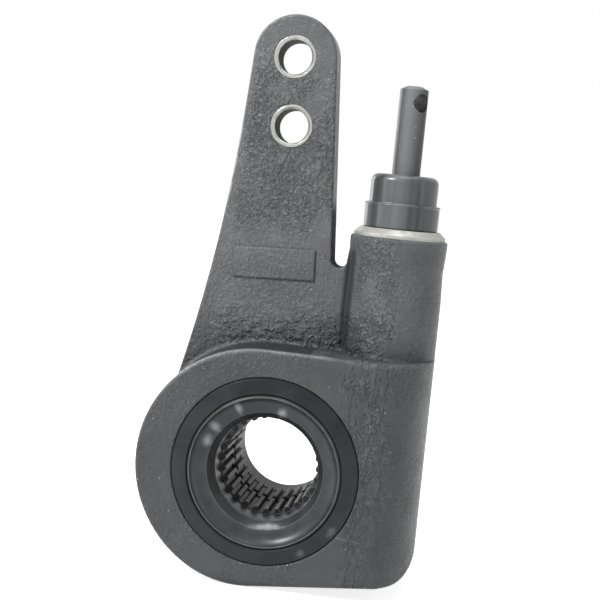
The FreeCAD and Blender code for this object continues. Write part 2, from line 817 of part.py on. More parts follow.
def clutch_spring():
    """Winds the wrap spring that grips the worm's hub and the sleeve's hub."""
    radius = value("clutch_radius + clutch_gap + clutch_wire / 2")
    wire, height = value("clutch_wire"), value("clutch_wire_height")
    return coil("clutch_spring", radius, wire, height, value("clutch_turns"),
                "worm_half_length + running_gap", "sleeve_flange - running_gap")


def helical_slot():
    """Sweeps one slot of the sleeve, open at the top, as a cutting tool."""
    lead = value("slot_lead")
    reach = value("slot_reach") * lead / (2 * math.pi)
    start = value("pin_height") - reach
    length = value("sleeve_top") - start + value("slot_rise") / 2 + reach
    low = value("rod_radius") / 2
    high = value("sleeve_radius") + value("sleeve_flange_thick")
    rise = value("slot_rise") / 2
    helix = Part.makeHelix(lead, length, (low + high) / 2)
    corners = [Vector(low, 0, -rise), Vector(high, 0, -rise), Vector(high, 0, rise), Vector(low, 0, rise)]
    profile = Part.makePolygon(corners + [corners[0]])
    slot = Part.Wire(helix.Edges).makePipeShell([profile], True, True)
    slot.translate(Vector(0, 0, start))
    slot.rotate(Vector(), Vector(0, 0, 1), -math.degrees(value("slot_reach")))
    return slot


def drive_sleeve():
    """Makes the sleeve that the rod's cross pin turns through two helical slots."""
    bore = "rod_radius + sleeve_bore_gap"
    tube = turned("sleeve_turned", "Z", [
        (bore, "sleeve_bottom"),
        ("clutch_radius", "sleeve_bottom"),
        ("clutch_radius", "sleeve_flange"),
        ("worm_bore_radius - running_gap", "sleeve_flange"),
        ("worm_bore_radius - running_gap", "sleeve_flange + sleeve_flange_thick"),
        ("sleeve_radius", "sleeve_flange + sleeve_flange_thick"),
        ("sleeve_radius", "sleeve_top"),
        (bore, "sleeve_top"),
    ], at_worm=True)
    slots = []
    for number in range(2):
        tool = helical_slot()
        tool.rotate(Vector(), Vector(0, 0, 1), 180 * number)
        slots.append(shape_feature(f"sleeve_slot_{number + 1}", tool, at_worm=True))
    return cut("drive_sleeve", tube, slots)


def actuator_rod():
    """Makes the rod with its cross hole, clip groove and pin hole."""
    groove_low, groove_high = "seat_bottom - clip_thick", "seat_bottom"
    blank = turned("rod_turned", "Z", [
        ("0", "pin_height - pin_cover"),
        ("rod_radius", "pin_height - pin_cover"),
        ("rod_radius", groove_low),
        ("rod_radius - clip_groove", groove_low),
        ("rod_radius - clip_groove", groove_high),
        ("rod_radius", groove_high),
        ("rod_radius", "rod_top - rod_top_break"),
        ("rod_radius - 2 * rod_top_break", "rod_top"),
        ("0", "rod_top"),
    ], at_worm=True)
    eye = doc.addObject("Part::Cylinder", "rod_eye")
    bind(eye, Radius="rod_hole_radius", Height="4 * rod_radius")
    # The hole runs from front to back and is turned about the rod.
    lay = Rotation(Vector(0, 0, 1), value("rod_hole_turn")).multiply(Rotation(Vector(1, 0, 0), -90))
    away = Rotation(Vector(0, 0, 1), value("rod_hole_turn")).multVec(Vector(0, -value("2 * rod_radius"), 0))
    eye.Placement = Placement(Vector(value("worm_x"), 0, value("rod_top - rod_hole_drop")) + away, lay)
    pin_way = pin_cylinder("pin_way", "pin_radius", "2 * rod_radius")
    return cut("actuator_rod", blank, [eye, pin_way])


def pin_cylinder(label, radius, half):
    """Makes a cylinder along X through the rod at the cross pin."""
    pin = doc.addObject("Part::Cylinder", label)
    pin.Placement = Placement(Vector(), Rotation(Vector(0, 1, 0), 90))
    bind(pin, Radius=radius, Height=f"2 * ({half})")
    bind(pin, place_x=f"worm_x - ({half})", place_z="pin_height")
    return pin


def rod_rings():
    """Makes the cross pin, the spring seat and its clip."""
    return [
        pin_cylinder("cross_pin", "pin_radius - fit_gap", "sleeve_radius - pin_end_gap"),
        ring("spring_seat", "Z", "rod_radius + fit_gap", "seat_radius",
             "seat_bottom", "seat_top", True),
        ring("seat_clip", "Z", "rod_radius - clip_groove + fit_gap", "clip_radius",
             "seat_bottom - clip_thick + fit_gap", "seat_bottom - fit_gap", True),
    ]


def return_spring():
    """Winds the spring between the seat on the rod and the gland."""
    wire = value("2 * spring_wire")
    return coil("return_spring", value("spring_radius"), wire, wire, value("spring_turns"),
                "seat_top + spring_end_gap", "gland_bottom - spring_end_gap")


# Gland and boot


def gland_parts():
    """Makes the gland with its ring, the wiper and the boot."""
    bore = "rod_radius + gland_bore_gap"
    spigot = "worm_bore_radius - fit_gap"
    ring_low = "gland_bottom + (gland_depth - gland_ring_width) / 2"
    ring_high = "gland_bottom + (gland_depth + gland_ring_width) / 2"
    gland = turned("gland", "Z", [
        (bore, "gland_bottom"),
        (spigot, "gland_bottom"),
        (spigot, ring_low),
        (f"{spigot} - gland_ring_section", ring_low),
        (f"{spigot} - gland_ring_section", ring_high),
        (spigot, ring_high),
        (spigot, "tube_top"),
        ("gland_flange_radius", "tube_top"),
        ("gland_flange_radius", "tube_top + gland_skirt"),
        ("gland_top_radius", "tube_top + gland_height"),
        ("wiper_radius", "tube_top + gland_height"),
        ("wiper_radius", "tube_top + gland_height - wiper_length"),
        (bore, "tube_top + gland_height - wiper_length"),
    ], at_worm=True)
    gland_ring = ring("gland_ring", "Z", f"{spigot} - gland_ring_section + fit_gap",
                      "worm_bore_radius - fit_gap", f"{ring_low} + fit_gap", f"{ring_high} - fit_gap", True)
    wiper = ring("rod_wiper", "Z", "rod_radius + boot_lip_gap", "wiper_radius - fit_gap",
                 "tube_top + gland_height - wiper_length + fit_gap", "tube_top + gland_height", True)
    step = "boot_bottom + boot_step_height"
    boot = turned("rod_boot", "Z", [
        ("boot_radius - boot_wall", "boot_bottom"),
        ("boot_radius - boot_foot_round", "boot_bottom", 1, "boot_foot_round"),
        ("boot_radius", "boot_bottom + boot_foot_round"),
        ("boot_radius", f"{step} - boot_bead_height"),
        ("boot_radius + boot_bead", f"{step} - boot_bead_height / 2"),
        ("boot_radius", step),
        ("boot_step_radius", f"{step} + boot_bead"),
        ("boot_step_radius", "boot_top - boot_shoulder", 1, "boot_shoulder"),
        ("boot_step_radius - boot_shoulder", "boot_top"),
        ("rod_radius + boot_lip_gap", "boot_top"),
        ("rod_radius + boot_lip_gap", "boot_top - boot_wall"),
        ("boot_step_radius - boot_wall - boot_shoulder / 2", "boot_top - boot_wall"),
        ("boot_step_radius - boot_wall", "boot_top - boot_wall - boot_shoulder / 2"),
        ("boot_step_radius - boot_wall", f"{step} - boot_wall / 2"),
        ("boot_radius - boot_wall", f"{step} - boot_wall"),
    ], at_worm=True)
    return [gland, gland_ring, wiper, boot]


# Grease fitting


def grease_fitting():
    """Makes the fitting in the back of the casting and its check ball."""
    tip = "boss_half + fitting_length"
    stem = turned("fitting_stem", "Y", [
        ("fitting_bore_radius", "worm_bore_radius + running_gap"),
        ("fitting_shank_radius - fit_gap", "worm_bore_radius + running_gap"),
        ("fitting_shank_radius - fit_gap", "boss_half"),
        ("fitting_neck_radius", "boss_half"),
        ("fitting_neck_radius", f"{tip} - fitting_head_length"),
        ("fitting_head_radius", f"{tip} - fitting_head_radius"),
        ("fitting_neck_radius", tip),
        ("fitting_mouth_radius", tip),
        ("fitting_bore_radius", f"{tip} - fitting_ball_radius"),
    ])
    bind(stem, place_x="worm_x", place_z="fitting_height")
    nut = hexagon("fitting_nut", "fitting_hex_across", "boss_half", "boss_half + fitting_hex_thick", "Y")
    way = drill("fitting_way", "Y", "fitting_bore_radius", "boss_half - fitting_hex_thick",
                "boss_half + 2 * fitting_hex_thick", "worm_x", "fitting_height")
    body = fuse("fitting_joined", [stem, nut])
    fitting = cut("grease_fitting", body, [way])
    ball = doc.addObject("Part::Sphere", "fitting_ball")
    bind(ball, Radius="fitting_ball_radius", place_x="worm_x")
    bind(ball, place_y=f"{tip} - fitting_ball_drop", place_z="fitting_height")
    return [fitting, ball]


def build():
    """Builds every piece and gives them in one list."""
    fill_sheet()
    pieces = [housing(), worm_gear(), cover(), worm(), clutch_spring(), drive_sleeve(), actuator_rod()]
    pieces += clevis_bushings() + gear_rings() + worm_rings() + rod_rings()
    pieces += [return_spring()] + gland_parts() + grease_fitting()
    doc.recompute()
    return pieces


def check(pieces):
    """Stops if any object failed or any piece is empty or not sound."""
    for thing in doc.Objects:
        bad = {"Invalid", "Error"} & set(thing.State)
        if bad:
            raise RuntimeError(f"{thing.Label} is {bad}")
    for piece in pieces:
        if piece.Shape.isNull() or not piece.Shape.isValid() or not piece.Shape.Solids:
            raise RuntimeError(f"{piece.Label} has no sound solid")


def write(pieces):
    """Writes each piece to its own file and reports it."""
    os.makedirs("parts", exist_ok=True)
    total = 0
    for piece in pieces:
        piece.Shape.exportStep(os.path.join("parts", piece.Label + ".step"))
        facets = len(piece.Shape.tessellate(0.1)[1])
        total += facets
        box = piece.Shape.BoundBox
        print(f"{piece.Label:20s} solids {len(piece.Shape.Solids)} volume {piece.Shape.Volume:10.1f}"
              f" facets {facets:5d} x {box.XMin:6.1f} {box.XMax:6.1f} y {box.YMin:6.1f} {box.YMax:6.1f}"
              f" z {box.ZMin:6.1f} {box.ZMax:6.1f}")
    print("pieces", len(pieces), "facets", total)


parts = build()
check(parts)
write(parts)
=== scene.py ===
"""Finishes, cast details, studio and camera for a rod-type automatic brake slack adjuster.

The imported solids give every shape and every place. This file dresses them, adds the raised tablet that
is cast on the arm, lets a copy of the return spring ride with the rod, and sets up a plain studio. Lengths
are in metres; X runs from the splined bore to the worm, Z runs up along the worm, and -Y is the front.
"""
import logging
import math
from dataclasses import dataclass
from enum import Enum
from typing import NamedTuple

import bmesh
import bpy
from mathutils import Matrix, Vector


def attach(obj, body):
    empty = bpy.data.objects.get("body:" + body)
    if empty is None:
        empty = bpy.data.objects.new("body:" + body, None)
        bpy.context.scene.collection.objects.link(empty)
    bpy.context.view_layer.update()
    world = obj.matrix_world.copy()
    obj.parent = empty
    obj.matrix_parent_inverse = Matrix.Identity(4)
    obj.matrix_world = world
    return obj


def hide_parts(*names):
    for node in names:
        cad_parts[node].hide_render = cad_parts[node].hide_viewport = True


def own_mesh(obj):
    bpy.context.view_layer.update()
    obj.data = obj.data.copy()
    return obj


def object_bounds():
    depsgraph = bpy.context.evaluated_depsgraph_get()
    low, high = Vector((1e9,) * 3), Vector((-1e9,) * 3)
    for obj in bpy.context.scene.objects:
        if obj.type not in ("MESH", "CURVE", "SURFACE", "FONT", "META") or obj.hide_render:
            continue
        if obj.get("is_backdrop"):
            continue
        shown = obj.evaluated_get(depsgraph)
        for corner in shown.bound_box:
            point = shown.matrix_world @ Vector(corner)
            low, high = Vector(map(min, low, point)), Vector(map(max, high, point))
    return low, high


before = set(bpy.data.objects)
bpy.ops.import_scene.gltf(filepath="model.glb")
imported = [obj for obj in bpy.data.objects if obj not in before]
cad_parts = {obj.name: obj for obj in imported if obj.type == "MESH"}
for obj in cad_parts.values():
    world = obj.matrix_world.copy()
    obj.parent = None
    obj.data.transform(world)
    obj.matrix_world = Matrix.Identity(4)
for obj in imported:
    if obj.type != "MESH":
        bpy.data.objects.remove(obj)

Colour = tuple[float, float, float, float]
Place = tuple[float, float, float]
Socket = bpy.types.NodeSocket
Feed = Socket | float | tuple
Given = dict[str, Socket]

LOG = logging.getLogger("slack_adjuster")
MM = 0.001
HALF = 0.5
EVEN: Place = (1.0, 1.0, 1.0)
ORIGIN: Place = (0.0, 0.0, 0.0)
WHITE: Colour = (1.0, 1.0, 1.0, 1.0)
QUARTER_TURN = math.radians(90)
ARM_LEAN = math.radians(2.3)
BOSS_ACROSS = -4.2 * MM
BOSS_RADIUS = 44.9 * MM
BOSS_FACE = -26 * MM
ARM_FACE = -6.6 * MM
WORM_AXIS: Place = (38.75 * MM, 0.0, 0.0)
FITTING_AXIS: Place = (38.75 * MM, 0.0, 4 * MM)
FULL_LEVEL = 255
TOE_END = 0.04045
TOE_SLOPE = 12.92
CURVE_SHIFT = 0.055
CURVE_POWER = 2.4


def tone(red: int, green: int, blue: int) -> Colour:
    """Turns a colour as a screen shows it, 0 to 255, into the linear colour that a shader takes.

    Args:
        red: the red level.
        green: the green level.
        blue: the blue level.

    Returns:
        The linear colour, with an alpha of 1.
    """
    parts = []
    for level in (red, green, blue):
        share = level / FULL_LEVEL
        curve = ((share + CURVE_SHIFT) / (1 + CURVE_SHIFT)) ** CURVE_POWER
        parts.append(share / TOE_SLOPE if share <= TOE_END else curve)
    return (parts[0], parts[1], parts[2], 1.0)


class Fade(NamedTuple):
    """A soft change of a mask: it is 0 at one value and 1 at another."""

    zero: float
    one: float


class Span(NamedTuple):
    """A stretch of values on which a mask is 1; both ends fade, by its softness to each side."""

    start: float
    end: float
    soft: float


def fade_mm(zero: float, one: float) -> Fade:
    """Gives a fade whose values are in millimetres."""
    return Fade(zero * MM, one * MM)


def span_mm(start: float, end: float, soft: float) -> Span:
    """Gives a span whose values are in millimetres."""
    return Span(start * MM, end * MM, soft * MM)


@dataclass(frozen=True)
class Noise:
    """The look of soft noise; its scale is per metre, or per spacing inside a shared effect."""

    scale: float = 1.0
    detail: float = 3.0
    roughness: float = 0.5
    distortion: float = 0.0
    stretch: Place = EVEN


class Net:
    """Adds nodes to one shader tree and joins them."""

    def __init__(self, tree: bpy.types.NodeTree) -> None:
        """Keeps the tree that the nodes go into."""
        self.tree = tree

    def feed(self, target: Socket, source: Feed) -> None:
        """Joins a socket to another, or sets its plain value.

        Args:
            target: the socket that takes it.
            source: another socket or a value.
        """
        if isinstance(source, Socket):
            self.tree.links.new(source, target)
        else:
            target.default_value = source

    def add(self, kind: str, inputs: dict[str | int, Feed] | None = None,
            **settings: object) -> bpy.types.Node:
        """Adds a node.

        Args:
            kind: Blender's name of the node.
            inputs: what feeds each socket, by the socket's name or number.
            settings: the node's own options.

        Returns:
            The new node.
        """
        node = self.tree.nodes.new(kind)
        for name, choice in settings.items():
            setattr(node, name, choice)
        for name, source in (inputs or {}).items():
            self.feed(node.inputs[name], source)
        return node

    def arithmetic(self, operation: str, *parts: Feed, clamp: bool = False) -> Socket:
        """Works through two or more values with one operation.

        Args:
            operation: Blender's name of it.
            parts: the values, taken from left to right.
            clamp: whether each result is kept from 0 to 1.

        Returns:
            The last result.
        """
        result = parts[0]
        for part in parts[1:]:
            node = self.add("ShaderNodeMath", {0: result, 1: part}, operation=operation, use_clamp=clamp)
            result = node.outputs[0]
        return result

    def total(self, *parts: Feed) -> Socket:
        """Adds values."""
        return self.arithmetic("ADD", *parts)

    def less(self, first: Feed, second: Feed) -> Socket:
        """Takes the second value from the first."""
        return self.arithmetic("SUBTRACT", first, second)

    def product(self, *parts: Feed) -> Socket:
        """Multiplies values."""
        return self.arithmetic("MULTIPLY", *parts)

    def ratio(self, first: Feed, second: Feed) -> Socket:
        """Divides the first value by the second."""
        return self.arithmetic("DIVIDE", first, second)

    def largest(self, *parts: Feed) -> Socket:
        """Gives the largest of some values."""
        return self.arithmetic("MAXIMUM", *parts)

    def size(self, value: Feed) -> Socket:
        """Gives a value without its sign."""
        return self.arithmetic("ABSOLUTE", value, 0.0)

    def step(self, value: Feed, fade: Fade) -> Socket:
        """Changes softly from 0 to 1 as the value passes through the fade."""
        inputs = {"Value": value, "From Min": fade.zero, "From Max": fade.one}
        return self.add("ShaderNodeMapRange", inputs, interpolation_type="SMOOTHSTEP").outputs[0]

    def between(self, value: Feed, span: Span) -> Socket:
        """Gives 1 on the span and 0 beyond it, with soft ends.

        Args:
            value: what is tested.
            span: the stretch, with its softness.

        Returns:
            The mask.
        """
        rise = self.step(value, Fade(span.start - span.soft, span.start + span.soft))
        fall = self.step(value, Fade(span.end + span.soft, span.end - span.soft))
        return self.product(rise, fall)

    def scaled(self, value: Feed, bottom: Feed, top: Feed) -> Socket:
        """Stretches a mask from 0 to 1 over another range."""
        inputs = {"Value": value, "To Min": bottom, "To Max": top}
        return self.add("ShaderNodeMapRange", inputs).outputs[0]

    def lay(self, base: Feed, colour: Feed, mask: Feed, share: float = 1.0) -> Socket:
        """Lays a colour over another where a mask is, no stronger than a share.

        Args:
            base: the colour below.
            colour: the colour on top.
            mask: where it lies.
            share: its strength where the mask is 1.

        Returns:
            The mixed colour.
        """
        strength = mask if share == 1.0 else self.product(mask, share)
        # a mix node's colours go in at 6 and 7 and come out at 2
        return self.add("ShaderNodeMix", {0: strength, 6: base, 7: colour}, data_type="RGBA").outputs[2]

    def place(self) -> Socket:
        """Gives the place of the surface in the object's own frame."""
        return self.add("ShaderNodeTexCoord").outputs["Object"]

    def mapped(self, vector: Feed, shift: Place = ORIGIN, turn: Place = ORIGIN, scale: Place = EVEN,
               way: str = "POINT") -> Socket:
        """Moves, turns and stretches coordinates; the way TEXTURE gives them in a moved frame.

        Args:
            vector: the coordinates.
            shift: how far they move.
            turn: how far they turn about each axis.
            scale: how far they stretch.
            way: Blender's name of the way.

        Returns:
            The new coordinates.
        """
        inputs = {"Vector": vector, "Location": shift, "Rotation": turn, "Scale": scale}
        return self.add("ShaderNodeMapping", inputs, vector_type=way).outputs[0]

    def split(self, vector: Feed) -> tuple[Socket, Socket, Socket]:
        """Splits a vector into its three parts."""
        node = self.add("ShaderNodeSeparateXYZ", {0: vector})
        return node.outputs[0], node.outputs[1], node.outputs[2]

    def noise(self, vector: Feed, look: Noise, per_metre: Feed | None = None) -> Socket:
        """Gives soft noise with a mean of one half.

        Args:
            vector: where it is read.
            look: its scale, stretch and other values.
            per_metre: how many spacings of a shared effect a metre holds, if the scale counts those.

        Returns:
            The noise.
        """
        if look.stretch != EVEN:
            vector = self.mapped(vector, scale=look.stretch)
        scale = look.scale if per_metre is None else self.product(per_metre, look.scale)
        inputs = {"Vector": vector, "Scale": scale, "Detail": look.detail, "Roughness": look.roughness,
                  "Distortion": look.distortion}
        return self.add("ShaderNodeTexNoise", inputs).outputs["Fac"]

    def ragged(self, vector: Feed, look: Noise, reach: float) -> Socket:
        """Gives a soft random shift, at most half of its reach either way."""
        return self.product(self.less(self.noise(vector, look), HALF), reach)

    def length_of(self, vector: Feed) -> Socket:
        """Gives the length of a vector."""
        return self.add("ShaderNodeVectorMath", {0: vector}, operation="LENGTH").outputs["Value"]

    def radius(self, first: Feed, second: Feed) -> Socket:
        """Gives the distance from an axis, from the two coordinates across it."""
        return self.length_of(self.add("ShaderNodeCombineXYZ", {0: first, 1: second}).outputs[0])

    def bump(self, height: Feed, depth: float, normal: Feed | None = None) -> Socket:
        """Turns a height from 0 to 1 into a normal; depth is the real height of 1.

        Args:
            height: the height.
            depth: how far 1 stands proud of 0.
            normal: the normal below it, or None for the surface's own.

        Returns:
            The normal.
        """
        inputs = {"Height": height, "Distance": depth, "Strength": 1.0}
        if normal is not None:
            inputs["Normal"] = normal
        return self.add("ShaderNodeBump", inputs).outputs[0]


class Port(Enum):
    """The kinds of socket that a shared effect has."""

    VALUE = "NodeSocketFloat"
    VECTOR = "NodeSocketVector"


class Effect:
    """An effect that several finishes share, kept in one node group."""

    name = ""
    takes: dict[str, Port] = {}
    gives: dict[str, Port] = {}

    def wire(self, net: Net, source: Given, target: Given) -> None:
        """Joins the inside of the group; each effect has its own."""
        raise NotImplementedError

    def group(self) -> bpy.types.NodeTree:
        """Gives the node group, and builds it the first time.

        Returns:
            The node group.
        """
        if self.name in bpy.data.node_groups:
            return bpy.data.node_groups[self.name]
        tree = bpy.data.node_groups.new(self.name, "ShaderNodeTree")
        for label, port in self.takes.items():
            tree.interface.new_socket(name=label, in_out="INPUT", socket_type=port.value)
        for label, port in self.gives.items():
            tree.interface.new_socket(name=label, in_out="OUTPUT", socket_type=port.value)
        net = Net(tree)
        entry = net.add("NodeGroupInput")
        leave = net.add("NodeGroupOutput")
        source = {label: entry.outputs[label] for label in self.takes}
        target = {label: leave.inputs[label] for label in self.gives}
        self.wire(net, source, target)
        return tree

    def use(self, net: Net, **values: Feed) -> Given:
        """Places the effect in a material.

        Args:
            net: the material's tree.
            values: what feeds each input, by its name.

        Returns:
            What the effect gives, by name.
        """
        node = net.add("ShaderNodeGroup", node_tree=self.group())
        for label, source in values.items():
            net.feed(node.inputs[label], source)
        return {label: node.outputs[label] for label in self.gives}


class Corners(Effect):
    """Softens the shading of corners and tells where sharp and hollow ones are."""

    name = "corners"
    takes = {"Radius": Port.VALUE, "Reach": Port.VALUE}
    gives = {"Normal": Port.VECTOR, "Edge": Port.VALUE, "Hollow": Port.VALUE}
    samples = 8
    open_air = Fade(0.9, 0.35)
    bend = Fade(0.995, 0.82)

    def wire(self, net: Net, source: Given, target: Given) -> None:
        """Compares the rounded normal with the true one, and looks for nearby walls.

        Args:
            net: the group's tree.
            source: the group's inputs, by name.
            target: the group's outputs, by name.
        """
        soft = net.add("ShaderNodeBevel", {"Radius": source["Radius"]}, samples=self.samples).outputs[0]
        flat = net.add("ShaderNodeNewGeometry").outputs["Normal"]
        same = net.add("ShaderNodeVectorMath", {0: soft, 1: flat}, operation="DOT_PRODUCT").outputs["Value"]
        nearby = net.add("ShaderNodeAmbientOcclusion", {"Distance": source["Reach"]}, samples=self.samples)
        hollow = net.step(nearby.outputs["AO"], self.open_air)
        bent = net.step(same, self.bend)
        net.feed(target["Normal"], soft)
        net.feed(target["Hollow"], hollow)
        net.feed(target["Edge"], net.arithmetic("SUBTRACT", bent, hollow, clamp=True))


class Skin(Effect):
    """The pebbled skin of a sand casting under paint."""

    name = "casting_skin"
    takes = {"Vector": Port.VECTOR, "Spacing": Port.VALUE, "Rough": Port.VALUE}
    gives = {"Height": Port.VALUE, "Pits": Port.VALUE, "Tops": Port.VALUE}
    pebbles = Noise(1.0, detail=3.0, roughness=0.55, distortion=0.4)
    creases = Noise(0.8, detail=2.0, distortion=0.6)
    lump_rise = Fade(0.34, 0.64)
    top_rise = Fade(0.54, 0.68)
    crease_width = Fade(0.035, 0.0)
    crease_depth = 0.5

    def wire(self, net: Net, source: Given, target: Given) -> None:
        """Adds round pebbles with thin creases between them, where the casting is rough.

        Args:
            net: the group's tree.
            source: the group's inputs, by name.
            target: the group's outputs, by name.
        """
        per_metre = net.ratio(1.0, source["Spacing"])
        pebble = net.noise(source["Vector"], self.pebbles, per_metre)
        waves = net.noise(source["Vector"], self.creases, per_metre)
        crease = net.step(net.size(net.less(waves, HALF)), self.crease_width)
        height = net.less(net.step(pebble, self.lump_rise), net.product(crease, self.crease_depth))
        net.feed(target["Height"], net.product(height, source["Rough"]))
        net.feed(target["Pits"], net.product(crease, source["Rough"]))
        net.feed(target["Tops"], net.product(net.step(pebble, self.top_rise), source["Rough"]))


class Specks(Effect):
    """Small round chips and dust grains, scattered thinly."""

    name = "specks"
    takes = {"Vector": Port.VECTOR, "Spacing": Port.VALUE, "Size": Port.VALUE}
    gives = {"Mask": Port.VALUE}
    rim = Noise(3.0, detail=2.0)
    chosen = Fade(0.62, 0.72)

    def wire(self, net: Net, source: Given, target: Given) -> None:
        """Keeps the middle of a few cells only, with a ragged rim.

        Args:
            net: the group's tree.
            source: the group's inputs, by name.
            target: the group's outputs, by name.
        """
        per_metre = net.ratio(1.0, source["Spacing"])
        ragged = net.noise(source["Vector"], self.rim, per_metre)
        cell = net.add("ShaderNodeTexVoronoi", {"Vector": source["Vector"], "Scale": per_metre})
        chosen = net.step(net.split(cell.outputs["Color"])[0], self.chosen)
        reach = net.product(source["Size"], net.total(ragged, HALF), per_metre)
        inside = net.arithmetic("LESS_THAN", cell.outputs["Distance"], reach)
        net.feed(target["Mask"], net.product(inside, chosen))


class Scratches(Effect):
    """Fine straight scratches that run along X of the vector it is given."""

    name = "scratches"
    takes = {"Vector": Port.VECTOR, "Spacing": Port.VALUE, "Amount": Port.VALUE}
    gives = {"Mask": Port.VALUE}
    threads = Noise(1.0, detail=3.0, stretch=(0.06, 1.0, 1.0))
    patches = Noise(0.05, detail=2.0)
    patch = Fade(0.4, 0.7)
    bare_level = 0.8
    sharpness = 12.0

    def wire(self, net: Net, source: Given, target: Given) -> None:
        """Stretches noise into long threads and keeps the highest.

        Args:
            net: the group's tree.
            source: the group's inputs, by name.
            target: the group's outputs, by name.
        """
        per_metre = net.ratio(1.0, source["Spacing"])
        thread = net.noise(source["Vector"], self.threads, per_metre)
        patch = net.step(net.noise(source["Vector"], self.patches, per_metre), self.patch)
        level = net.less(self.bare_level, net.product(source["Amount"], patch))
        over = net.less(thread, level)
        net.feed(target["Mask"], net.arithmetic("MULTIPLY", over, self.sharpness, clamp=True))


class PaintedHighlight(Effect):
    """One painted highlight, drawn out along X of the vector it is given."""

    name = "painted_highlight"
    takes = {"Vector": Port.VECTOR}
    gives = {"Mask": Port.VALUE}
    streaks = Noise(1.6, detail=3.0, stretch=(0.5, 1.0, 2.2))
    streak_reach = 0.8
    rim = Fade(1.35, 0.35)

    def wire(self, net: Net, source: Given, target: Given) -> None:
        """Fades with the distance from the vector's origin, in soft streaks; the spot's rim is at 1.

        Args:
            net: the group's tree.
            source: the group's inputs, by name.
            target: the group's outputs, by name.
        """
        streaks = net.product(net.noise(source["Vector"], self.streaks), self.streak_reach)
        far = net.total(net.length_of(source["Vector"]), streaks)
        net.feed(target["Mask"], net.step(far, self.rim))


class Lathe(Effect):
    """Turning marks along a profile: fine rings, some deeper than others."""

    name = "lathe_marks"
    takes = {"Along": Port.VALUE, "Pitch": Port.VALUE}
    gives = {"Height": Port.VALUE, "Tone": Port.VALUE}
    fine_scale = 1.0
    fine_share = 0.7
    slow_scale = 0.12
    slow_share = 0.3
    detail = 2.0
    tone_rise = Fade(0.38, 0.62)

    def rings(self, net: Net, turn: Feed, scale: float) -> Socket:
        """Reads one line of noise along the profile."""
        inputs = {"W": turn, "Scale": scale, "Detail": self.detail}
        return net.add("ShaderNodeTexNoise", inputs, noise_dimensions="1D").outputs["Fac"]

    def wire(self, net: Net, source: Given, target: Given) -> None:
        """Adds fine and slow rings together.

        Args:
            net: the group's tree.
            source: the group's inputs, by name.
            target: the group's outputs, by name.
        """
        turn = net.ratio(source["Along"], source["Pitch"])
        fine = net.product(self.rings(net, turn, self.fine_scale), self.fine_share)
        slow = net.product(self.rings(net, turn, self.slow_scale), self.slow_share)
        height = net.total(fine, slow)
        net.feed(target["Height"], height)
        net.feed(target["Tone"], net.step(height, self.tone_rise))


class Stains(Effect):
    """Slow, cloudy changes of tone."""

    name = "stains"
    takes = {"Vector": Port.VECTOR, "Spacing": Port.VALUE}
    gives = {"Mask": Port.VALUE}
    clouds = Noise(1.0, detail=5.0, roughness=0.6, distortion=0.8)
    cloud_rise = Fade(0.32, 0.7)

    def wire(self, net: Net, source: Given, target: Given) -> None:
        """Bends soft noise so that it has patches and streaks.

        Args:
            net: the group's tree.
            source: the group's inputs, by name.
            target: the group's outputs, by name.
        """
        cloud = net.noise(source["Vector"], self.clouds, net.ratio(1.0, source["Spacing"]))
        net.feed(target["Mask"], net.step(cloud, self.cloud_rise))


class Spot(NamedTuple):
    """A painted highlight on a round front face: its place and its half lengths, in millimetres."""

    across: float
    up: float
    inward: float
    sideways: float


def painted_highlights(net: Net, place: Feed, spots: tuple[Spot, ...]) -> Socket:
    """Gives the mask of several painted highlights, each drawn out towards the bore's axis.

    Args:
        net: the material's tree.
        place: the place of the surface.
        spots: the painted highlights.

    Returns:
        The mask.
    """
    # each spot is a painted highlight of a lamp
    masks = []
    for spot in spots:
        near = net.mapped(place, way="TEXTURE", shift=(spot.across * MM, 0.0, spot.up * MM),
                          turn=(0.0, -math.atan2(spot.up, spot.across), 0.0),
                          scale=(spot.inward * MM, 1.0, spot.sideways * MM))
        masks.append(PaintedHighlight().use(net, Vector=near)["Mask"])
    return net.largest(*masks)


@dataclass(frozen=True)
class Finish:
    """A material: its slot in the record, its shader and the sizes of the shared effects on it."""

    slot: str
    roughness: float = 0.4
    metallic: float = 0.0
    coat: float = 0.0
    coat_roughness: float = 0.08
    specular: float = 0.5
    corner: float = 0.3 * MM
    valley: float = 2 * MM
    cloud_spacing: float = 6 * MM
    chip_spacing: float = 4 * MM
    chip_size: float = 0.16 * MM
    chip_share: float = 0.5
    edge_share: float = 0.5

    def corners(self, net: Net) -> Given:
        """Places the corner effect."""
        return Corners().use(net, Radius=self.corner, Reach=self.valley)

    def clouds(self, net: Net, spot: Feed) -> Socket:
        """Gives the mask of slow stains."""
        return Stains().use(net, Vector=spot, Spacing=self.cloud_spacing)["Mask"]

    def chips(self, net: Net, spot: Feed) -> Socket:
        """Gives the mask of chips and dust."""
        return Specks().use(net, Vector=spot, Spacing=self.chip_spacing, Size=self.chip_size)["Mask"]

    def shade(self, net: Net) -> dict[str, Feed]:
        """Gives what feeds the shader's sockets; each finish has its own."""
        raise NotImplementedError

    def material(self) -> bpy.types.Material:
        """Gives the material, and builds it the first time.

        Returns:
            The material.
        """
        name = f"{self.slot}_look"
        if name in bpy.data.materials:
            return bpy.data.materials[name]
        made = bpy.data.materials.new(name)
        made.use_nodes = True
        made.node_tree.nodes.clear()
        net = Net(made.node_tree)
        plain = {"Roughness": self.roughness, "Metallic": self.metallic, "Specular IOR Level": self.specular,
                 "Coat Weight": self.coat, "Coat Roughness": self.coat_roughness}
        shader = net.add("ShaderNodeBsdfPrincipled", plain | self.shade(net))
        net.add("ShaderNodeOutputMaterial", {"Surface": shader.outputs[0]})
        return made

    def dress(self, piece: bpy.types.Object) -> None:
        """Gives the whole piece this finish.

        Args:
            piece: the object, with its mesh.
        """
        piece.data.materials.clear()
        piece.data.materials.append(self.material())
        for face in piece.data.polygons:
            face.material_index = 0


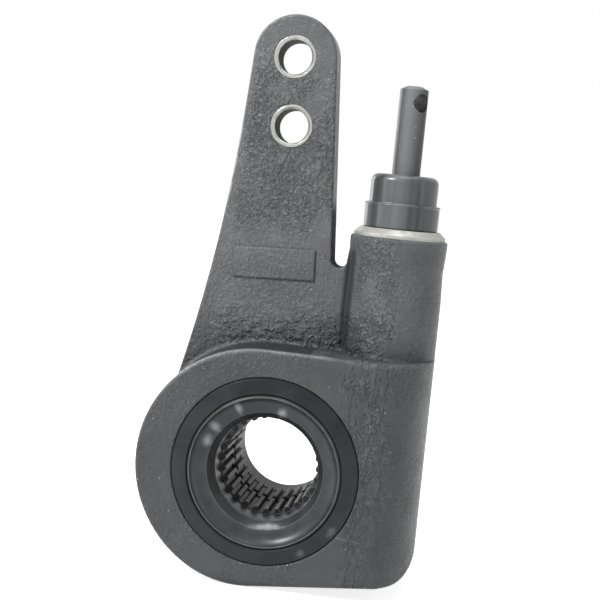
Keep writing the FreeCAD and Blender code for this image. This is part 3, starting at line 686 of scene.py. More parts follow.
class Location(NamedTuple):
    """A spot on the casting, its coordinates and its distance from the boss's axis."""

    spot: Feed
    across: Feed
    deep: Feed
    up: Feed
    rim: Feed


def located(net: Net, spot: Feed) -> Location:
    """Measures where a spot lies."""
    across, deep, up = net.split(spot)
    return Location(spot, across, deep, up, net.radius(net.less(across, BOSS_ACROSS), up))


@dataclass(frozen=True)
class Region:
    """A soft region of the casting: the limits of its coordinates, and its strength."""

    across: Span | Fade | None = None
    deep: Span | Fade | None = None
    up: Span | Fade | None = None
    rim: Span | Fade | None = None
    share: float = 1.0

    def mask(self, net: Net, place: Location) -> Socket:
        """Gives how strongly a place belongs to the region.

        Args:
            net: the material's tree.
            place: where the surface lies.

        Returns:
            The mask.
        """
        limits = ((place.across, self.across), (place.deep, self.deep), (place.up, self.up),
                  (place.rim, self.rim))
        parts = []
        for value, limit in limits:
            if isinstance(limit, Span):
                parts.append(net.between(value, limit))
            elif isinstance(limit, Fade):
                parts.append(net.step(value, limit))
        return net.product(*parts, self.share)


def strongest(net: Net, place: Location, regions: tuple[Region, ...]) -> Socket:
    """Gives the mask of several regions together."""
    return net.largest(*(region.mask(net, place) for region in regions))


class Zone:
    """The part of the casting's surface where one skin shows."""

    def mask(self, net: Net, place: Location) -> Socket:
        """Gives how strongly the skin shows; each zone has its own."""
        raise NotImplementedError


@dataclass(frozen=True)
class FineGrain(Zone):
    """The grain of the upper arm, which is fainter on the flank, the tube and the arm's foot."""

    patches: Noise = Noise(70.0, detail=2.0, stretch=(1.0, 0.5, 0.7))
    patch: Fade = Fade(0.3, 0.55)
    arm: Region = Region(across=fade_mm(22, 16), up=span_mm(88, 150, 8))
    arm_left: Fade = fade_mm(0, 4.5)
    edge_slope: float = 0.114
    edge_start: float = -33 * MM
    fainter: tuple[Region, ...] = (
        Region(across=fade_mm(27, 34), share=0.4),
        Region(across=span_mm(25, 42, 3), up=fade_mm(46, 54), share=0.75),
        Region(across=fade_mm(20, 12), up=fade_mm(90, 82), share=0.25))
    least: float = 0.1

    def left_gap(self, net: Net, place: Location) -> Socket:
        """Measures how far a place lies from the arm's left edge."""
        along, _, up = net.split(net.mapped(place.spot, turn=(0.0, ARM_LEAN, 0.0)))
        return net.less(along, net.total(net.product(up, self.edge_slope), self.edge_start))

    def mask(self, net: Net, place: Location) -> Socket:
        """Breaks the grain into patches and leaves a little of it everywhere.

        Args:
            net: the material's tree.
            place: where the surface lies.

        Returns:
            The mask.
        """
        arm = net.product(self.arm.mask(net, place), net.step(self.left_gap(net, place), self.arm_left))
        grain = net.largest(arm, strongest(net, place, self.fainter))
        patch = net.step(net.noise(place.spot, self.patches), self.patch)
        return net.total(net.product(patch, grain), self.least)


@dataclass(frozen=True)
class Crust(Zone):
    """The rough crust about the foot of the tube and along the top of the boss, and a small scar."""

    rim: Noise = Noise(110.0, detail=2.0)
    rim_reach: float = 22 * MM
    foot: Region = Region(across=span_mm(12, 38, 5), up=span_mm(40, 58, 6))
    ledge: Region = Region(across=span_mm(-25, 30, 8), up=fade_mm(61, 50), share=0.75)
    off_boss: Region = Region(deep=Fade(BOSS_FACE + 0.6 * MM, BOSS_FACE + 3 * MM), up=fade_mm(40, 45))
    scar: Region = Region(across=span_mm(27, 36, 2), up=span_mm(33, 38, 2), share=0.7)

    def mask(self, net: Net, place: Location) -> Socket:
        """Gives the crust a ragged rim and keeps it off the machined face.

        Args:
            net: the material's tree.
            place: where the surface lies.

        Returns:
            The mask.
        """
        ragged = net.ragged(place.spot, self.rim, self.rim_reach)
        moved = place._replace(up=net.total(place.up, ragged))
        foot = self.foot.mask(net, moved._replace(across=net.total(place.across, ragged)))
        crust = net.product(net.largest(foot, self.ledge.mask(net, moved)), self.off_boss.mask(net, place))
        return net.largest(crust, self.scar.mask(net, place))


@dataclass(frozen=True)
class FlowMarks(Zone):
    """The leaning band of upright flow marks on the front of the boss below the tube."""

    patches: Noise = Noise(70.0, detail=2.0, stretch=(1.0, 1.0, 0.4))
    patch: Fade = Fade(0.36, 0.6)
    rim: Noise = Noise(60.0, detail=2.0)
    rim_reach: float = 24 * MM
    slope: float = 0.07
    band: Region = Region(across=span_mm(31, 46, 4), deep=fade_mm(-10, -14), up=fade_mm(62, 40))
    least: float = 0.06

    def mask(self, net: Net, place: Location) -> Socket:
        """Breaks the band into patches and leaves a little of it everywhere.

        Args:
            net: the material's tree.
            place: where the surface lies.

        Returns:
            The mask.
        """
        ragged = net.ragged(place.spot, self.rim, self.rim_reach)
        along = net.total(place.across, ragged, net.product(place.up, self.slope))
        patch = net.step(net.noise(place.spot, self.patches), self.patch)
        marks = net.product(patch, self.band.mask(net, place._replace(across=along)))
        return net.total(marks, self.least)


@dataclass(frozen=True)
class SkinLayer:
    """One layer of the casting's skin: its zone, its pebbles and how they show."""

    zone: Zone
    spacing: float
    depth: float
    pits: float
    tops: float = 1.0
    stretch: Place = EVEN

    def use(self, net: Net, place: Location) -> Given:
        """Places the skin effect for this layer."""
        vector = place.spot if self.stretch == EVEN else net.mapped(place.spot, scale=self.stretch)
        return Skin().use(net, Vector=vector, Spacing=self.spacing, Rough=self.zone.mask(net, place))


@dataclass(frozen=True)
class CastPaint(Finish):
    """Dark grey paint over a sand casting, smooth on machined faces and pebbled elsewhere."""

    slot: str = "casting_paint"
    roughness: float = 0.36
    specular: float = 0.34
    corner: float = 0.9 * MM
    valley: float = 7 * MM
    cloud_spacing: float = 26 * MM
    chip_spacing: float = 4.2 * MM
    chip_size: float = 0.3 * MM
    paint: Colour = tone(83, 85, 87)
    worn: Colour = tone(97, 99, 100)
    light: Colour = tone(138, 140, 142)
    dark: Colour = tone(30, 31, 34)
    bare: Colour = tone(176, 176, 170)
    # painted shade in the slot, at the tube's root, on its left side and behind the boss's rim
    painted_shade: tuple[Region, ...] = (
        Region(across=span_mm(11.5, 23, 0.5), deep=span_mm(-5.6, 7, 0.4), up=span_mm(70, 98, 4)),
        Region(across=span_mm(20, 24.6, 1.2), deep=fade_mm(-5.6, -6), up=span_mm(46, 84, 2), share=0.92),
        Region(across=span_mm(19, 28, 4), deep=fade_mm(-21, -15), up=fade_mm(44, 50), share=0.3),
        Region(across=fade_mm(26, 18), up=fade_mm(20, 26), share=0.9,
               rim=Span(BOSS_RADIUS - 0.3 * MM, BOSS_RADIUS + 3 * MM, 0.2 * MM),
               deep=Span(BOSS_FACE + 2.6 * MM, ARM_FACE, 0.9 * MM)))
    # rougher where the painted shade lies, which dulls its reflections
    painted_shade_roughness: float = 0.9
    # painted highlight along the top of the boss, on its front rim and where it meets the arm
    crest_highlight: tuple[Region, ...] = (
        Region(across=fade_mm(24, 15), up=fade_mm(16, 30),
               rim=Fade(BOSS_RADIUS - 1.6 * MM, BOSS_RADIUS - 0.9 * MM),
               deep=Span(BOSS_FACE + 0.3 * MM, BOSS_FACE + 1.7 * MM, 0.3 * MM)),
        Region(across=fade_mm(24, 15), up=fade_mm(16, 30), share=0.7,
               rim=Span(BOSS_RADIUS + 0.8 * MM, BOSS_RADIUS + 1.9 * MM, 0.5 * MM),
               deep=Fade(ARM_FACE, ARM_FACE + 0.3 * MM)))
    crest_highlight_share: float = 0.55
    # where the tube runs into the boss in a wide valley
    merge: Region = Region(across=fade_mm(22, 32), up=span_mm(40, 49, 3))
    merge_radius: float = 4 * MM
    fine: SkinLayer = SkinLayer(FineGrain(), spacing=1.35 * MM, depth=0.62 * MM, pits=0.36)
    flow: SkinLayer = SkinLayer(FlowMarks(), spacing=2.4 * MM, depth=0.55 * MM, pits=0.2, tops=0.4,
                                stretch=(1.0, 1.0, 0.4))
    crust: SkinLayer = SkinLayer(Crust(), spacing=2.7 * MM, depth=0.85 * MM, pits=0.36)
    swell: Noise = Noise(170.0)
    swell_depth: float = 0.5 * MM
    # painted shade: the paint is darkened towards the bottom, where less light falls
    low: Fade = fade_mm(62, 38)
    low_shade_share: float = 0.52
    dot_shift: Place = (0.1, 0.2, 0.3)
    dot_spacing: float = 2.4 * MM
    dot_size: float = 0.38 * MM
    dot_share: float = 0.6
    top_highlight_share: float = 0.28
    hollow_shade_share: float = 0.85
    scratch_turn: float = math.radians(-12)
    scratch_spacing: float = 0.9 * MM
    scratch_amount: float = 0.19
    scratch_share: float = 0.2

    def painted(self, net: Net, place: Location) -> Socket:
        """Gives the paint's own colour, worn in clouds, with painted shade that darkens it low down."""
        base = net.lay(self.paint, self.worn, self.clouds(net, place.spot))
        return net.lay(base, self.dark, net.step(place.up, self.low), self.low_shade_share)

    def pebbled(self, net: Net, spot: Feed, base: Feed, skins: tuple[Given, Given, Given]) -> Socket:
        """Darkens the pits with painted shade and dark dots, and lightens the tops with painted highlights,
        for the fine skin, the flow marks and the crust.

        Args:
            net: the material's tree.
            spot: the place of the surface.
            base: the colour below.
            skins: what the fine skin, the flow marks and the crust give.

        Returns:
            The colour.
        """
        fine, flow, crust = skins
        dots = Specks().use(net, Vector=net.mapped(spot, shift=self.dot_shift), Spacing=self.dot_spacing,
                            Size=self.dot_size)["Mask"]
        # painted shade in the creases between the pebbles, with dark dots
        pits = net.largest(net.product(net.total(crust["Pits"], fine["Pits"]), self.fine.pits),
                           net.product(flow["Pits"], self.flow.pits), net.product(dots, self.dot_share))
        # painted highlights on the pebble tops
        tops = net.total(crust["Tops"], fine["Tops"], net.product(flow["Tops"], self.flow.tops))
        return net.lay(net.lay(base, self.dark, pits), self.light, tops, self.top_highlight_share)

    def marked(self, net: Net, spot: Feed, base: Feed) -> Socket:
        """Adds scratches and chips of bare metal.

        Args:
            net: the material's tree.
            spot: the place of the surface.
            base: the colour below.

        Returns:
            The colour.
        """
        lines = Scratches().use(net, Vector=net.mapped(spot, turn=(0.0, self.scratch_turn, 0.0)),
                                Spacing=self.scratch_spacing, Amount=self.scratch_amount)["Mask"]
        marks = net.total(net.product(lines, self.scratch_share),
                          net.product(self.chips(net, spot), self.chip_share))
        return net.lay(base, self.bare, marks)

    def shade(self, net: Net) -> dict[str, Feed]:
        """Layers the paint, the skins, painted shade and painted highlights, corners and marks.

        Args:
            net: the material's tree.

        Returns:
            What feeds the shader's sockets, by the socket's name.
        """
        spot = net.place()
        place = located(net, spot)
        softness = net.scaled(self.merge.mask(net, place), self.corner, self.merge_radius)
        corners = Corners().use(net, Radius=softness, Reach=self.valley)
        fine = self.fine.use(net, place)
        flow = self.flow.use(net, place)
        crust = self.crust.use(net, place)
        # painted shade in the slot, at the tube's root, on the tube's left side and behind the boss's rim
        painted_shade = strongest(net, place, self.painted_shade)
        base = self.pebbled(net, spot, self.painted(net, place), (fine, flow, crust))
        base = net.lay(base, self.dark, painted_shade)
        # painted shade in hollow corners
        base = net.lay(base, self.dark, corners["Hollow"], self.hollow_shade_share)
        base = net.lay(base, self.light, corners["Edge"], self.edge_share)
        # painted highlight along the boss's crest and the arm's fillet
        base = net.lay(base, self.light, strongest(net, place, self.crest_highlight), self.crest_highlight_share)
        base = self.marked(net, spot, base)
        skin = net.bump(net.noise(spot, self.swell), self.swell_depth, corners["Normal"])
        skin = net.bump(fine["Height"], self.fine.depth, skin)
        skin = net.bump(flow["Height"], self.flow.depth, skin)
        skin = net.bump(crust["Height"], self.crust.depth, skin)
        return {"Base Color": base, "Normal": skin,
                "Roughness": net.scaled(painted_shade, self.roughness, self.painted_shade_roughness)}


@dataclass(frozen=True)
class BlackCover(Finish):
    """Satin black on the turned cover."""

    slot: str = "cover_black"
    roughness: float = 0.36
    specular: float = 0.2
    corner: float = 0.5 * MM
    cloud_spacing: float = 14 * MM
    chip_spacing: float = 4.4 * MM
    chip_size: float = 0.2 * MM
    black: Colour = tone(31, 32, 35)
    grey: Colour = tone(45, 46, 50)
    bare: Colour = tone(150, 150, 146)
    pitch: float = 0.35 * MM
    groove: float = 0.008 * MM
    edge_share: float = 0.4
    highlight_share: float = 0.3
    # places of the painted highlights
    spots: tuple[Spot, ...] = (Spot(26.9, -18.6, 2.2, 3.6), Spot(16.4, -28.1, 2.2, 2.6))

    def shade(self, net: Net) -> dict[str, Feed]:
        """Adds faint turning marks, dust, chips and painted highlights.

        Args:
            net: the material's tree.

        Returns:
            What feeds the shader's sockets, by the socket's name.
        """
        spot = net.place()
        across, _, up = net.split(spot)
        rings = Lathe().use(net, Along=net.radius(across, up), Pitch=self.pitch)
        corners = self.corners(net)
        base = net.lay(self.black, self.grey, self.clouds(net, spot))
        base = net.lay(base, self.grey, corners["Edge"], self.edge_share)
        base = net.lay(base, self.bare, self.chips(net, spot), self.chip_share)
        # painted highlights on the cover's face
        base = net.lay(base, self.bare, painted_highlights(net, spot, self.spots), self.highlight_share)
        return {"Base Color": base, "Normal": net.bump(rings["Height"], self.groove, corners["Normal"])}


@dataclass(frozen=True)
class GearBlack(Finish):
    """Black oxide on the gear's hub, with rubbed lighter tooth tips in the bore, and painted highlights on
    its turned front and rims.
    """

    slot: str = "gear_black"
    roughness: float = 0.34
    specular: float = 0.3
    coat: float = 0.04
    coat_roughness: float = 0.12
    corner: float = 0.35 * MM
    valley: float = 2.5 * MM
    cloud_spacing: float = 11 * MM
    black: Colour = tone(40, 41, 43)
    grey: Colour = tone(57, 58, 61)
    rubbed: Colour = tone(74, 75, 75)
    oil: Colour = tone(28, 28, 30)
    painted_highlight: Colour = tone(190, 191, 190)
    pitch: float = 0.3 * MM
    groove: float = 0.01 * MM
    in_bore: Fade = fade_mm(19.55, 19.3)
    on_tip: Fade = fade_mm(18.03, 17.35)
    on_front: Fade = fade_mm(-20.2, -20.8)
    highlight_share: float = 0.6
    edge_share: float = 0.6
    bore_dullness: float = 0.16
    highlight_dullness: float = 0.14
    # places of the painted highlights on the dish and the funnel
    spots: tuple[Spot, ...] = (Spot(-11.4, 22.2, 3.6, 2.0), Spot(4.6, 22.4, 2.8, 2.6),
                               Spot(-19.6, 14.3, 3.6, 2.6), Spot(-22.2, 8.8, 2.6, 3.6),
                               Spot(2.5, -20.9, 1.5, 9.0))

    def shade(self, net: Net) -> dict[str, Feed]:
        """Splits the hub into its turned front and the toothed bore.

        Args:
            net: the material's tree.

        Returns:
            What feeds the shader's sockets, by the socket's name.
        """
        spot = net.place()
        across, deep, up = net.split(spot)
        radius = net.radius(across, up)
        rings = Lathe().use(net, Along=net.total(radius, deep), Pitch=self.pitch)
        corners = self.corners(net)
        in_bore = net.step(radius, self.in_bore)
        teeth = net.lay(self.oil, self.rubbed, net.step(radius, self.on_tip))
        base = net.lay(self.black, self.grey, self.clouds(net, spot))
        base = net.lay(base, teeth, in_bore)
        # painted highlights on the dish and the funnel of the hub's front
        highlight_mask = net.product(painted_highlights(net, spot, self.spots), net.step(deep, self.on_front))
        base = net.lay(base, self.painted_highlight, highlight_mask, self.highlight_share)
        # painted highlight along the rims
        base = net.lay(base, self.painted_highlight, corners["Edge"], self.edge_share)
        base = net.lay(base, self.rubbed, self.chips(net, spot), self.chip_share)
        shine = net.total(self.roughness, net.product(in_bore, self.bore_dullness),
                          net.product(highlight_mask, self.highlight_dullness))
        return {"Base Color": base, "Roughness": shine,
                "Normal": net.bump(rings["Height"], self.groove, corners["Normal"])}


class Axis(Enum):
    """The way in which a turned piece lies."""

    ALONG_Y = "Y"
    ALONG_Z = "Z"


@dataclass(frozen=True)
class TurnedMetal(Finish):
    """Bare turned metal with rings, stains, bright corners and painted shade in hollow corners."""

    roughness: float = 0.3
    metallic: float = 1.0
    corner: float = 0.2 * MM
    valley: float = 1.5 * MM
    light: Colour = tone(196, 196, 190)
    dull: Colour = tone(150, 150, 144)
    axis: Axis = Axis.ALONG_Z
    centre: Place = WORM_AXIS
    pitch: float = 0.3 * MM
    groove: float = 0.012 * MM
    axial_share: float = 0.7
    ring_share: float = 0.3
    cloud_dullness: float = 0.14
    polish: float = 0.05

    def along(self, net: Net, spot: Feed) -> Socket:
        """Measures along the turned profile: the radius and the place on the axis together.

        Args:
            net: the material's tree.
            spot: the place of the surface.

        Returns:
            The distance along the profile, in metres.
        """
        across, deep, up = net.split(net.mapped(spot, shift=tuple(-part for part in self.centre)))
        flat, axial = (up, deep) if self.axis is Axis.ALONG_Y else (deep, up)
        return net.total(net.radius(across, flat), net.product(axial, self.axial_share))

    def shade(self, net: Net) -> dict[str, Feed]:
        """Adds the rings, clouds, brighter corners and painted shade in hollow corners.

        Args:
            net: the material's tree.

        Returns:
            What feeds the shader's sockets, by the socket's name.
        """
        spot = net.place()
        rings = Lathe().use(net, Along=self.along(net, spot), Pitch=self.pitch)
        corners = self.corners(net)
        clouds = self.clouds(net, spot)
        base = net.lay(self.light, self.dull, clouds)
        base = net.lay(base, self.dull, rings["Tone"], self.ring_share)
        base = net.lay(base, self.light, corners["Edge"], self.edge_share)
        # painted shade in hollow corners
        base = net.lay(base, self.dull, corners["Hollow"], self.edge_share)
        shine = net.total(net.product(clouds, self.cloud_dullness), self.roughness - self.polish)
        return {"Base Color": base, "Roughness": shine,
                "Normal": net.bump(rings["Height"], self.groove, corners["Normal"])}


@dataclass(frozen=True)
class PlatedBushing(TurnedMetal):
    """A plated bushing with bright rims at both faces of the arm and a dull bore, darkened by painted shade.
    """

    slot: str = "bushing_steel"
    roughness: float = 0.34
    light: Colour = tone(184, 185, 180)
    dull: Colour = tone(154, 155, 150)
    axis: Axis = Axis.ALONG_Y
    centre: Place = ORIGIN
    groove: float = 0.004 * MM
    # painted shade inside the bore
    bore: Colour = tone(58, 59, 54)
    bore_roughness: float = 0.85
    behind_rim: Fade = fade_mm(5.9, 5.4)

    def shade(self, net: Net) -> dict[str, Feed]:
        """Paints shade into the bore away from the rims, and dulls the metal there.

        Args:
            net: the material's tree.

        Returns:
            What feeds the shader's sockets, by the socket's name.
        """
        feeds = super().shade(net)
        _, deep, _ = net.split(net.place())
        inside = net.step(net.size(deep), self.behind_rim)
        # painted shade inside the bore
        feeds["Base Color"] = net.lay(feeds["Base Color"], self.bore, inside)
        feeds["Roughness"] = net.scaled(inside, feeds["Roughness"], self.bore_roughness)
        feeds["Metallic"] = net.scaled(inside, self.metallic, 0.0)
        return feeds


@dataclass(frozen=True)
class GreyBoot(Finish):
    """Glossy grey moulding with upright bands of painted reflection, and dust."""

    slot: str = "boot_grey"
    roughness: float = 0.3
    specular: float = 0.38
    coat: float = 0.08
    coat_roughness: float = 0.12
    corner: float = 0.4 * MM
    valley: float = 1.5 * MM
    chip_spacing: float = 3.4 * MM
    grey: Colour = tone(50, 53, 54)
    light: Colour = tone(84, 87, 88)
    pale: Colour = tone(112, 115, 116)
    bare: Colour = tone(170, 170, 165)
    # upright bands of painted reflection
    bands: Noise = Noise(190.0, detail=1.0, stretch=(1.0, 1.0, 0.05))
    band: Fade = Fade(0.38, 0.62)
    # where the painted highlight runs down the front
    middle: Span = span_mm(35.5, 40.7, 2)
    front: Fade = fade_mm(0, -4)
    middle_highlight_share: float = 0.6
    chip_share: float = 0.3
    waves: Noise = Noise(160.0, detail=2.0)
    wave_depth: float = 0.05 * MM

    def shade(self, net: Net) -> dict[str, Feed]:
        """Adds painted reflection bands, a painted highlight down the middle, dust and small rubs.

        Args:
            net: the material's tree.

        Returns:
            What feeds the shader's sockets, by the socket's name.
        """
        spot = net.place()
        across, deep, _ = net.split(spot)
        corners = self.corners(net)
        middle = net.product(net.between(across, self.middle), net.step(deep, self.front))
        # painted reflections of the lamps in upright bands
        base = net.lay(self.grey, self.light, net.step(net.noise(spot, self.bands), self.band))
        # painted highlight down the middle of the front
        base = net.lay(base, self.pale, middle, self.middle_highlight_share)
        base = net.lay(base, self.bare, corners["Edge"], self.edge_share)
        base = net.lay(base, self.bare, self.chips(net, spot), self.chip_share)
        waves = net.noise(spot, self.waves)
        return {"Base Color": base, "Normal": net.bump(waves, self.wave_depth, corners["Normal"])}


@dataclass(frozen=True)
class RodSteel(Finish):
    """Phosphated steel rod with draw lines and rubbed spots."""

    slot: str = "rod_steel"
    roughness: float = 0.42
    metallic: float = 0.1
    specular: float = 0.3
    cloud_spacing: float = 7 * MM
    chip_spacing: float = 1.8 * MM
    chip_size: float = 0.26 * MM
    grey: Colour = tone(62, 65, 65)
    light: Colour = tone(92, 95, 95)
    pale: Colour = tone(122, 126, 127)
    bare: Colour = tone(190, 190, 184)
    bands: Noise = Noise(260.0, detail=1.0, stretch=(1.0, 1.0, 0.04))
    band: Fade = Fade(0.4, 0.62)
    cloud_stretch: Place = (1.0, 1.0, 0.25)
    # where the painted highlight runs down the front
    middle: Span = span_mm(36.8, 41.2, 1.5)
    front: Fade = fade_mm(0, -2)
    middle_highlight_share: float = 0.6
    line_spacing: float = 0.35 * MM
    line_amount: float = 0.16
    line_share: float = 0.25
    line_depth: float = -0.01 * MM
    edge_share: float = 0.45

    def shade(self, net: Net) -> dict[str, Feed]:
        """Adds lines along the rod, a painted highlight down the middle, wear at the rim and small rubs.

        Args:
            net: the material's tree.

        Returns:
            What feeds the shader's sockets, by the socket's name.
        """
        spot = net.place()
        across, deep, _ = net.split(spot)
        lengthwise = net.mapped(spot, turn=(0.0, QUARTER_TURN, 0.0))
        lines = Scratches().use(net, Vector=lengthwise, Spacing=self.line_spacing,
                                Amount=self.line_amount)["Mask"]
        corners = self.corners(net)
        clouds = self.clouds(net, net.mapped(spot, scale=self.cloud_stretch))
        bands = net.step(net.noise(spot, self.bands), self.band)
        middle = net.product(net.between(across, self.middle), net.step(deep, self.front))
        base = net.lay(self.grey, self.light, net.total(clouds, bands), HALF)
        # painted highlight down the middle of the rod's front
        base = net.lay(base, self.pale, middle, self.middle_highlight_share)
        base = net.lay(base, self.light, lines, self.line_share)
        rubs = net.total(net.product(corners["Edge"], self.edge_share),
                         net.product(self.chips(net, spot), self.chip_share))
        base = net.lay(base, self.bare, rubs)
        return {"Base Color": base, "Normal": net.bump(lines, self.line_depth, corners["Normal"])}


@dataclass(frozen=True)
class Rubber(Finish):
    """Matt black seal rubber, slightly greasy."""

    slot: str = "seal_rubber"
    roughness: float = 0.55
    greasy_roughness: float = 0.35
    cloud_spacing: float = 4 * MM
    black: Colour = tone(30, 30, 31)
    grease: Colour = tone(54, 52, 46)
    skin: Noise = Noise(2600.0, detail=2.0)
    skin_depth: float = 0.02 * MM

    def shade(self, net: Net) -> dict[str, Feed]:
        """Adds a fine matt skin and patches of grease.

        Args:
            net: the material's tree.

        Returns:
            What feeds the shader's sockets, by the socket's name.
        """
        spot = net.place()
        clouds = self.clouds(net, spot)
        base = net.lay(self.black, self.grease, clouds)
        shine = net.scaled(clouds, self.roughness, self.greasy_roughness)
        return {"Base Color": base, "Roughness": shine,
                "Normal": net.bump(net.noise(spot, self.skin), self.skin_depth)}


PAINT = CastPaint()
COVER_BLACK = BlackCover()
HUB_BLACK = GearBlack()
BOOT = GreyBoot()
ROD_STEEL = RodSteel()
RUBBER = Rubber()
BUSHING = PlatedBushing()
GLAND_STEEL = TurnedMetal("gland_steel", roughness=0.45, metallic=0.6, light=tone(182, 182, 177),
                          dull=tone(152, 152, 147))
WORM_STEEL = TurnedMetal("worm_steel", light=tone(160, 160, 160), dull=tone(112, 112, 114))
INNER_STEEL = TurnedMetal("inner_steel", roughness=0.34, light=tone(150, 151, 152),
                          dull=tone(108, 109, 111))
SPRING_STEEL = TurnedMetal("spring_steel", roughness=0.32, light=tone(112, 112, 116),
                           dull=tone(70, 70, 74))
BRONZE = TurnedMetal("washer_brass", roughness=0.34, light=tone(190, 158, 98), dull=tone(140, 112, 66))
ZINC = TurnedMetal("fitting_zinc", light=tone(196, 192, 176), dull=tone(150, 146, 128),
                   axis=Axis.ALONG_Y, centre=FITTING_AXIS)


def smooth(mesh: bpy.types.Mesh, angle: float) -> None:
    """Shades a mesh smooth, apart from its corners sharper than an angle.

    Args:
        mesh: the mesh, which is changed.
        angle: the angle from which a corner stays sharp, in radians.
    """
    form = bmesh.new()
    form.from_mesh(mesh)
    for edge in form.edges:
        edge.smooth = len(edge.link_faces) == 2 and edge.calc_face_angle() < angle
    for face in form.faces:
        face.smooth = True
    form.to_mesh(mesh)
    form.free()


def new_object(name: str, form: bmesh.types.BMesh) -> bpy.types.Object:
    """Makes an object at the origin from a form that is already in place, and frees the form.

    Args:
        name: the object's name.
        form: its shape.

    Returns:
        The object.
    """
    mesh = bpy.data.meshes.new(name)
    form.to_mesh(mesh)
    form.free()
    made = bpy.data.objects.new(name, mesh)
    bpy.context.scene.collection.objects.link(made)
    return made


def new_piece(name: str, form: bmesh.types.BMesh, body: str, finish: Finish,
              corner: float) -> bpy.types.Object:
    """Makes a piece of the part.

    Args:
        name: the piece's name.
        form: its shape, already in place; it is freed.
        body: the moving body that it rides on.
        finish: its material.
        corner: the angle from which its corners stay sharp.

    Returns:
        The object.
    """
    bmesh.ops.recalc_face_normals(form, faces=form.faces)
    piece = new_object(name, form)
    finish.dress(piece)
    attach(piece, body)
    smooth(piece.data, corner)
    LOG.info("made %s with %d faces", name, len(piece.data.polygons))
    return piece


@dataclass
class SubAssembly:
    """Solids that belong together, each with its finish, and the pieces that are added to them."""

    solids: tuple[tuple[str, Finish], ...] = ()

    def add_pieces(self) -> None:
        """Makes what the solids don't have; some sub-assemblies need nothing."""

    def build(self) -> None:
        """Dresses the solids and adds the pieces."""
        for name, finish in self.solids:
            finish.dress(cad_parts[name])
            LOG.info("dressed %s in %s", name, finish.slot)
        self.add_pieces()


@dataclass
class Casting(SubAssembly):
    """The cast housing with its bushings and grease fitting, and the raised tablet on its arm."""

    solids: tuple[tuple[str, Finish], ...] = (
        ("housing", PAINT), ("bushing_lower", BUSHING), ("bushing_upper", BUSHING),
        ("grease_fitting", ZINC), ("fitting_ball", INNER_STEEL))
    body: str = "housing"
    arm_front: float = -6.1 * MM
    tablet_width: float = 31.4 * MM
    tablet_height: float = 11.9 * MM
    tablet_proud: float = 0.75 * MM
    tablet_sunk: float = 0.3 * MM
    tablet_round: float = 0.6 * MM
    tablet_across: float = -3.8 * MM
    tablet_up: float = 75.5 * MM
    round_segments: int = 4
    sharp_corner: float = math.radians(30)

    def add_pieces(self) -> None:
        """Makes the bare tablet, leaned over with the arm."""
        form = bmesh.new()
        size = Vector((self.tablet_width, self.tablet_proud + self.tablet_sunk, self.tablet_height))
        bmesh.ops.create_cube(form, size=1.0, matrix=Matrix.Diagonal(size.to_4d()))
        front_corners = [edge for edge in form.edges if all(corner.co.y < 0 for corner in edge.verts)]
        bmesh.ops.bevel(form, geom=front_corners, offset=self.tablet_round, offset_type="OFFSET",
                        segments=self.round_segments, profile=0.5, affect="EDGES", clamp_overlap=True,
                        material=-1)
        middle = self.arm_front - (self.tablet_proud - self.tablet_sunk) / 2
        place = Matrix.Rotation(-ARM_LEAN, 4, "Y") @ Matrix.Translation(
            (self.tablet_across, middle, self.tablet_up))
        bmesh.ops.transform(form, matrix=place, verts=form.verts)
        new_piece("arm_tablet", form, self.body, PAINT, self.sharp_corner)


@dataclass
class GearSet(SubAssembly):
    """The worm gear in the boss, with its cover, washers and seals."""

    solids: tuple[tuple[str, Finish], ...] = (
        ("worm_gear", HUB_BLACK), ("gear_cover", COVER_BLACK), ("thrust_washer_front", BRONZE),
        ("thrust_washer_back", BRONZE), ("hub_seal_front", RUBBER), ("hub_seal_back", RUBBER))


@dataclass
class WormSet(SubAssembly):
    """The worm in the tube, with its bearings, the clutch spring and the drive sleeve."""

    solids: tuple[tuple[str, Finish], ...] = (
        ("worm", WORM_STEEL), ("worm_bushing", BRONZE), ("worm_thrust_washer", BRONZE),
        ("worm_seal", RUBBER), ("clutch_spring", SPRING_STEEL), ("drive_sleeve", INNER_STEEL))


@dataclass
class RodSet(SubAssembly):
    """The actuator rod and its return spring, with the gland and the boot round them."""

    solids: tuple[tuple[str, Finish], ...] = (
        ("actuator_rod", ROD_STEEL), ("cross_pin", INNER_STEEL), ("seat_clip", SPRING_STEEL),
        ("spring_seat", INNER_STEEL), ("return_spring", SPRING_STEEL), ("gland", GLAND_STEEL),
        ("gland_ring", RUBBER), ("rod_wiper", RUBBER), ("rod_boot", BOOT))
    body: str = "rod"
    joint: str = "rod_slide"
    spring: str = "return_spring"
    travel: float = 12 * MM
    merge: float = 0.001 * MM
    sharp_corner: float = math.radians(40)

    def add_pieces(self) -> None:
        """Makes a coil of the spring's own shape that stands on its seat and rides with the rod."""
        form = bmesh.new()
        form.from_mesh(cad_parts[self.spring].data)
        bmesh.ops.remove_doubles(form, verts=form.verts, dist=self.merge)
        coil = new_piece("spring_coil", form, self.body, SPRING_STEEL, self.sharp_corner)
        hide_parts(self.spring)
        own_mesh(coil)


class Lamp(NamedTuple):
    """A soft rectangular lamp: its place, its width and height, and its power in watts."""

    name: str
    place: Place
    size: tuple[float, float]
    power: float


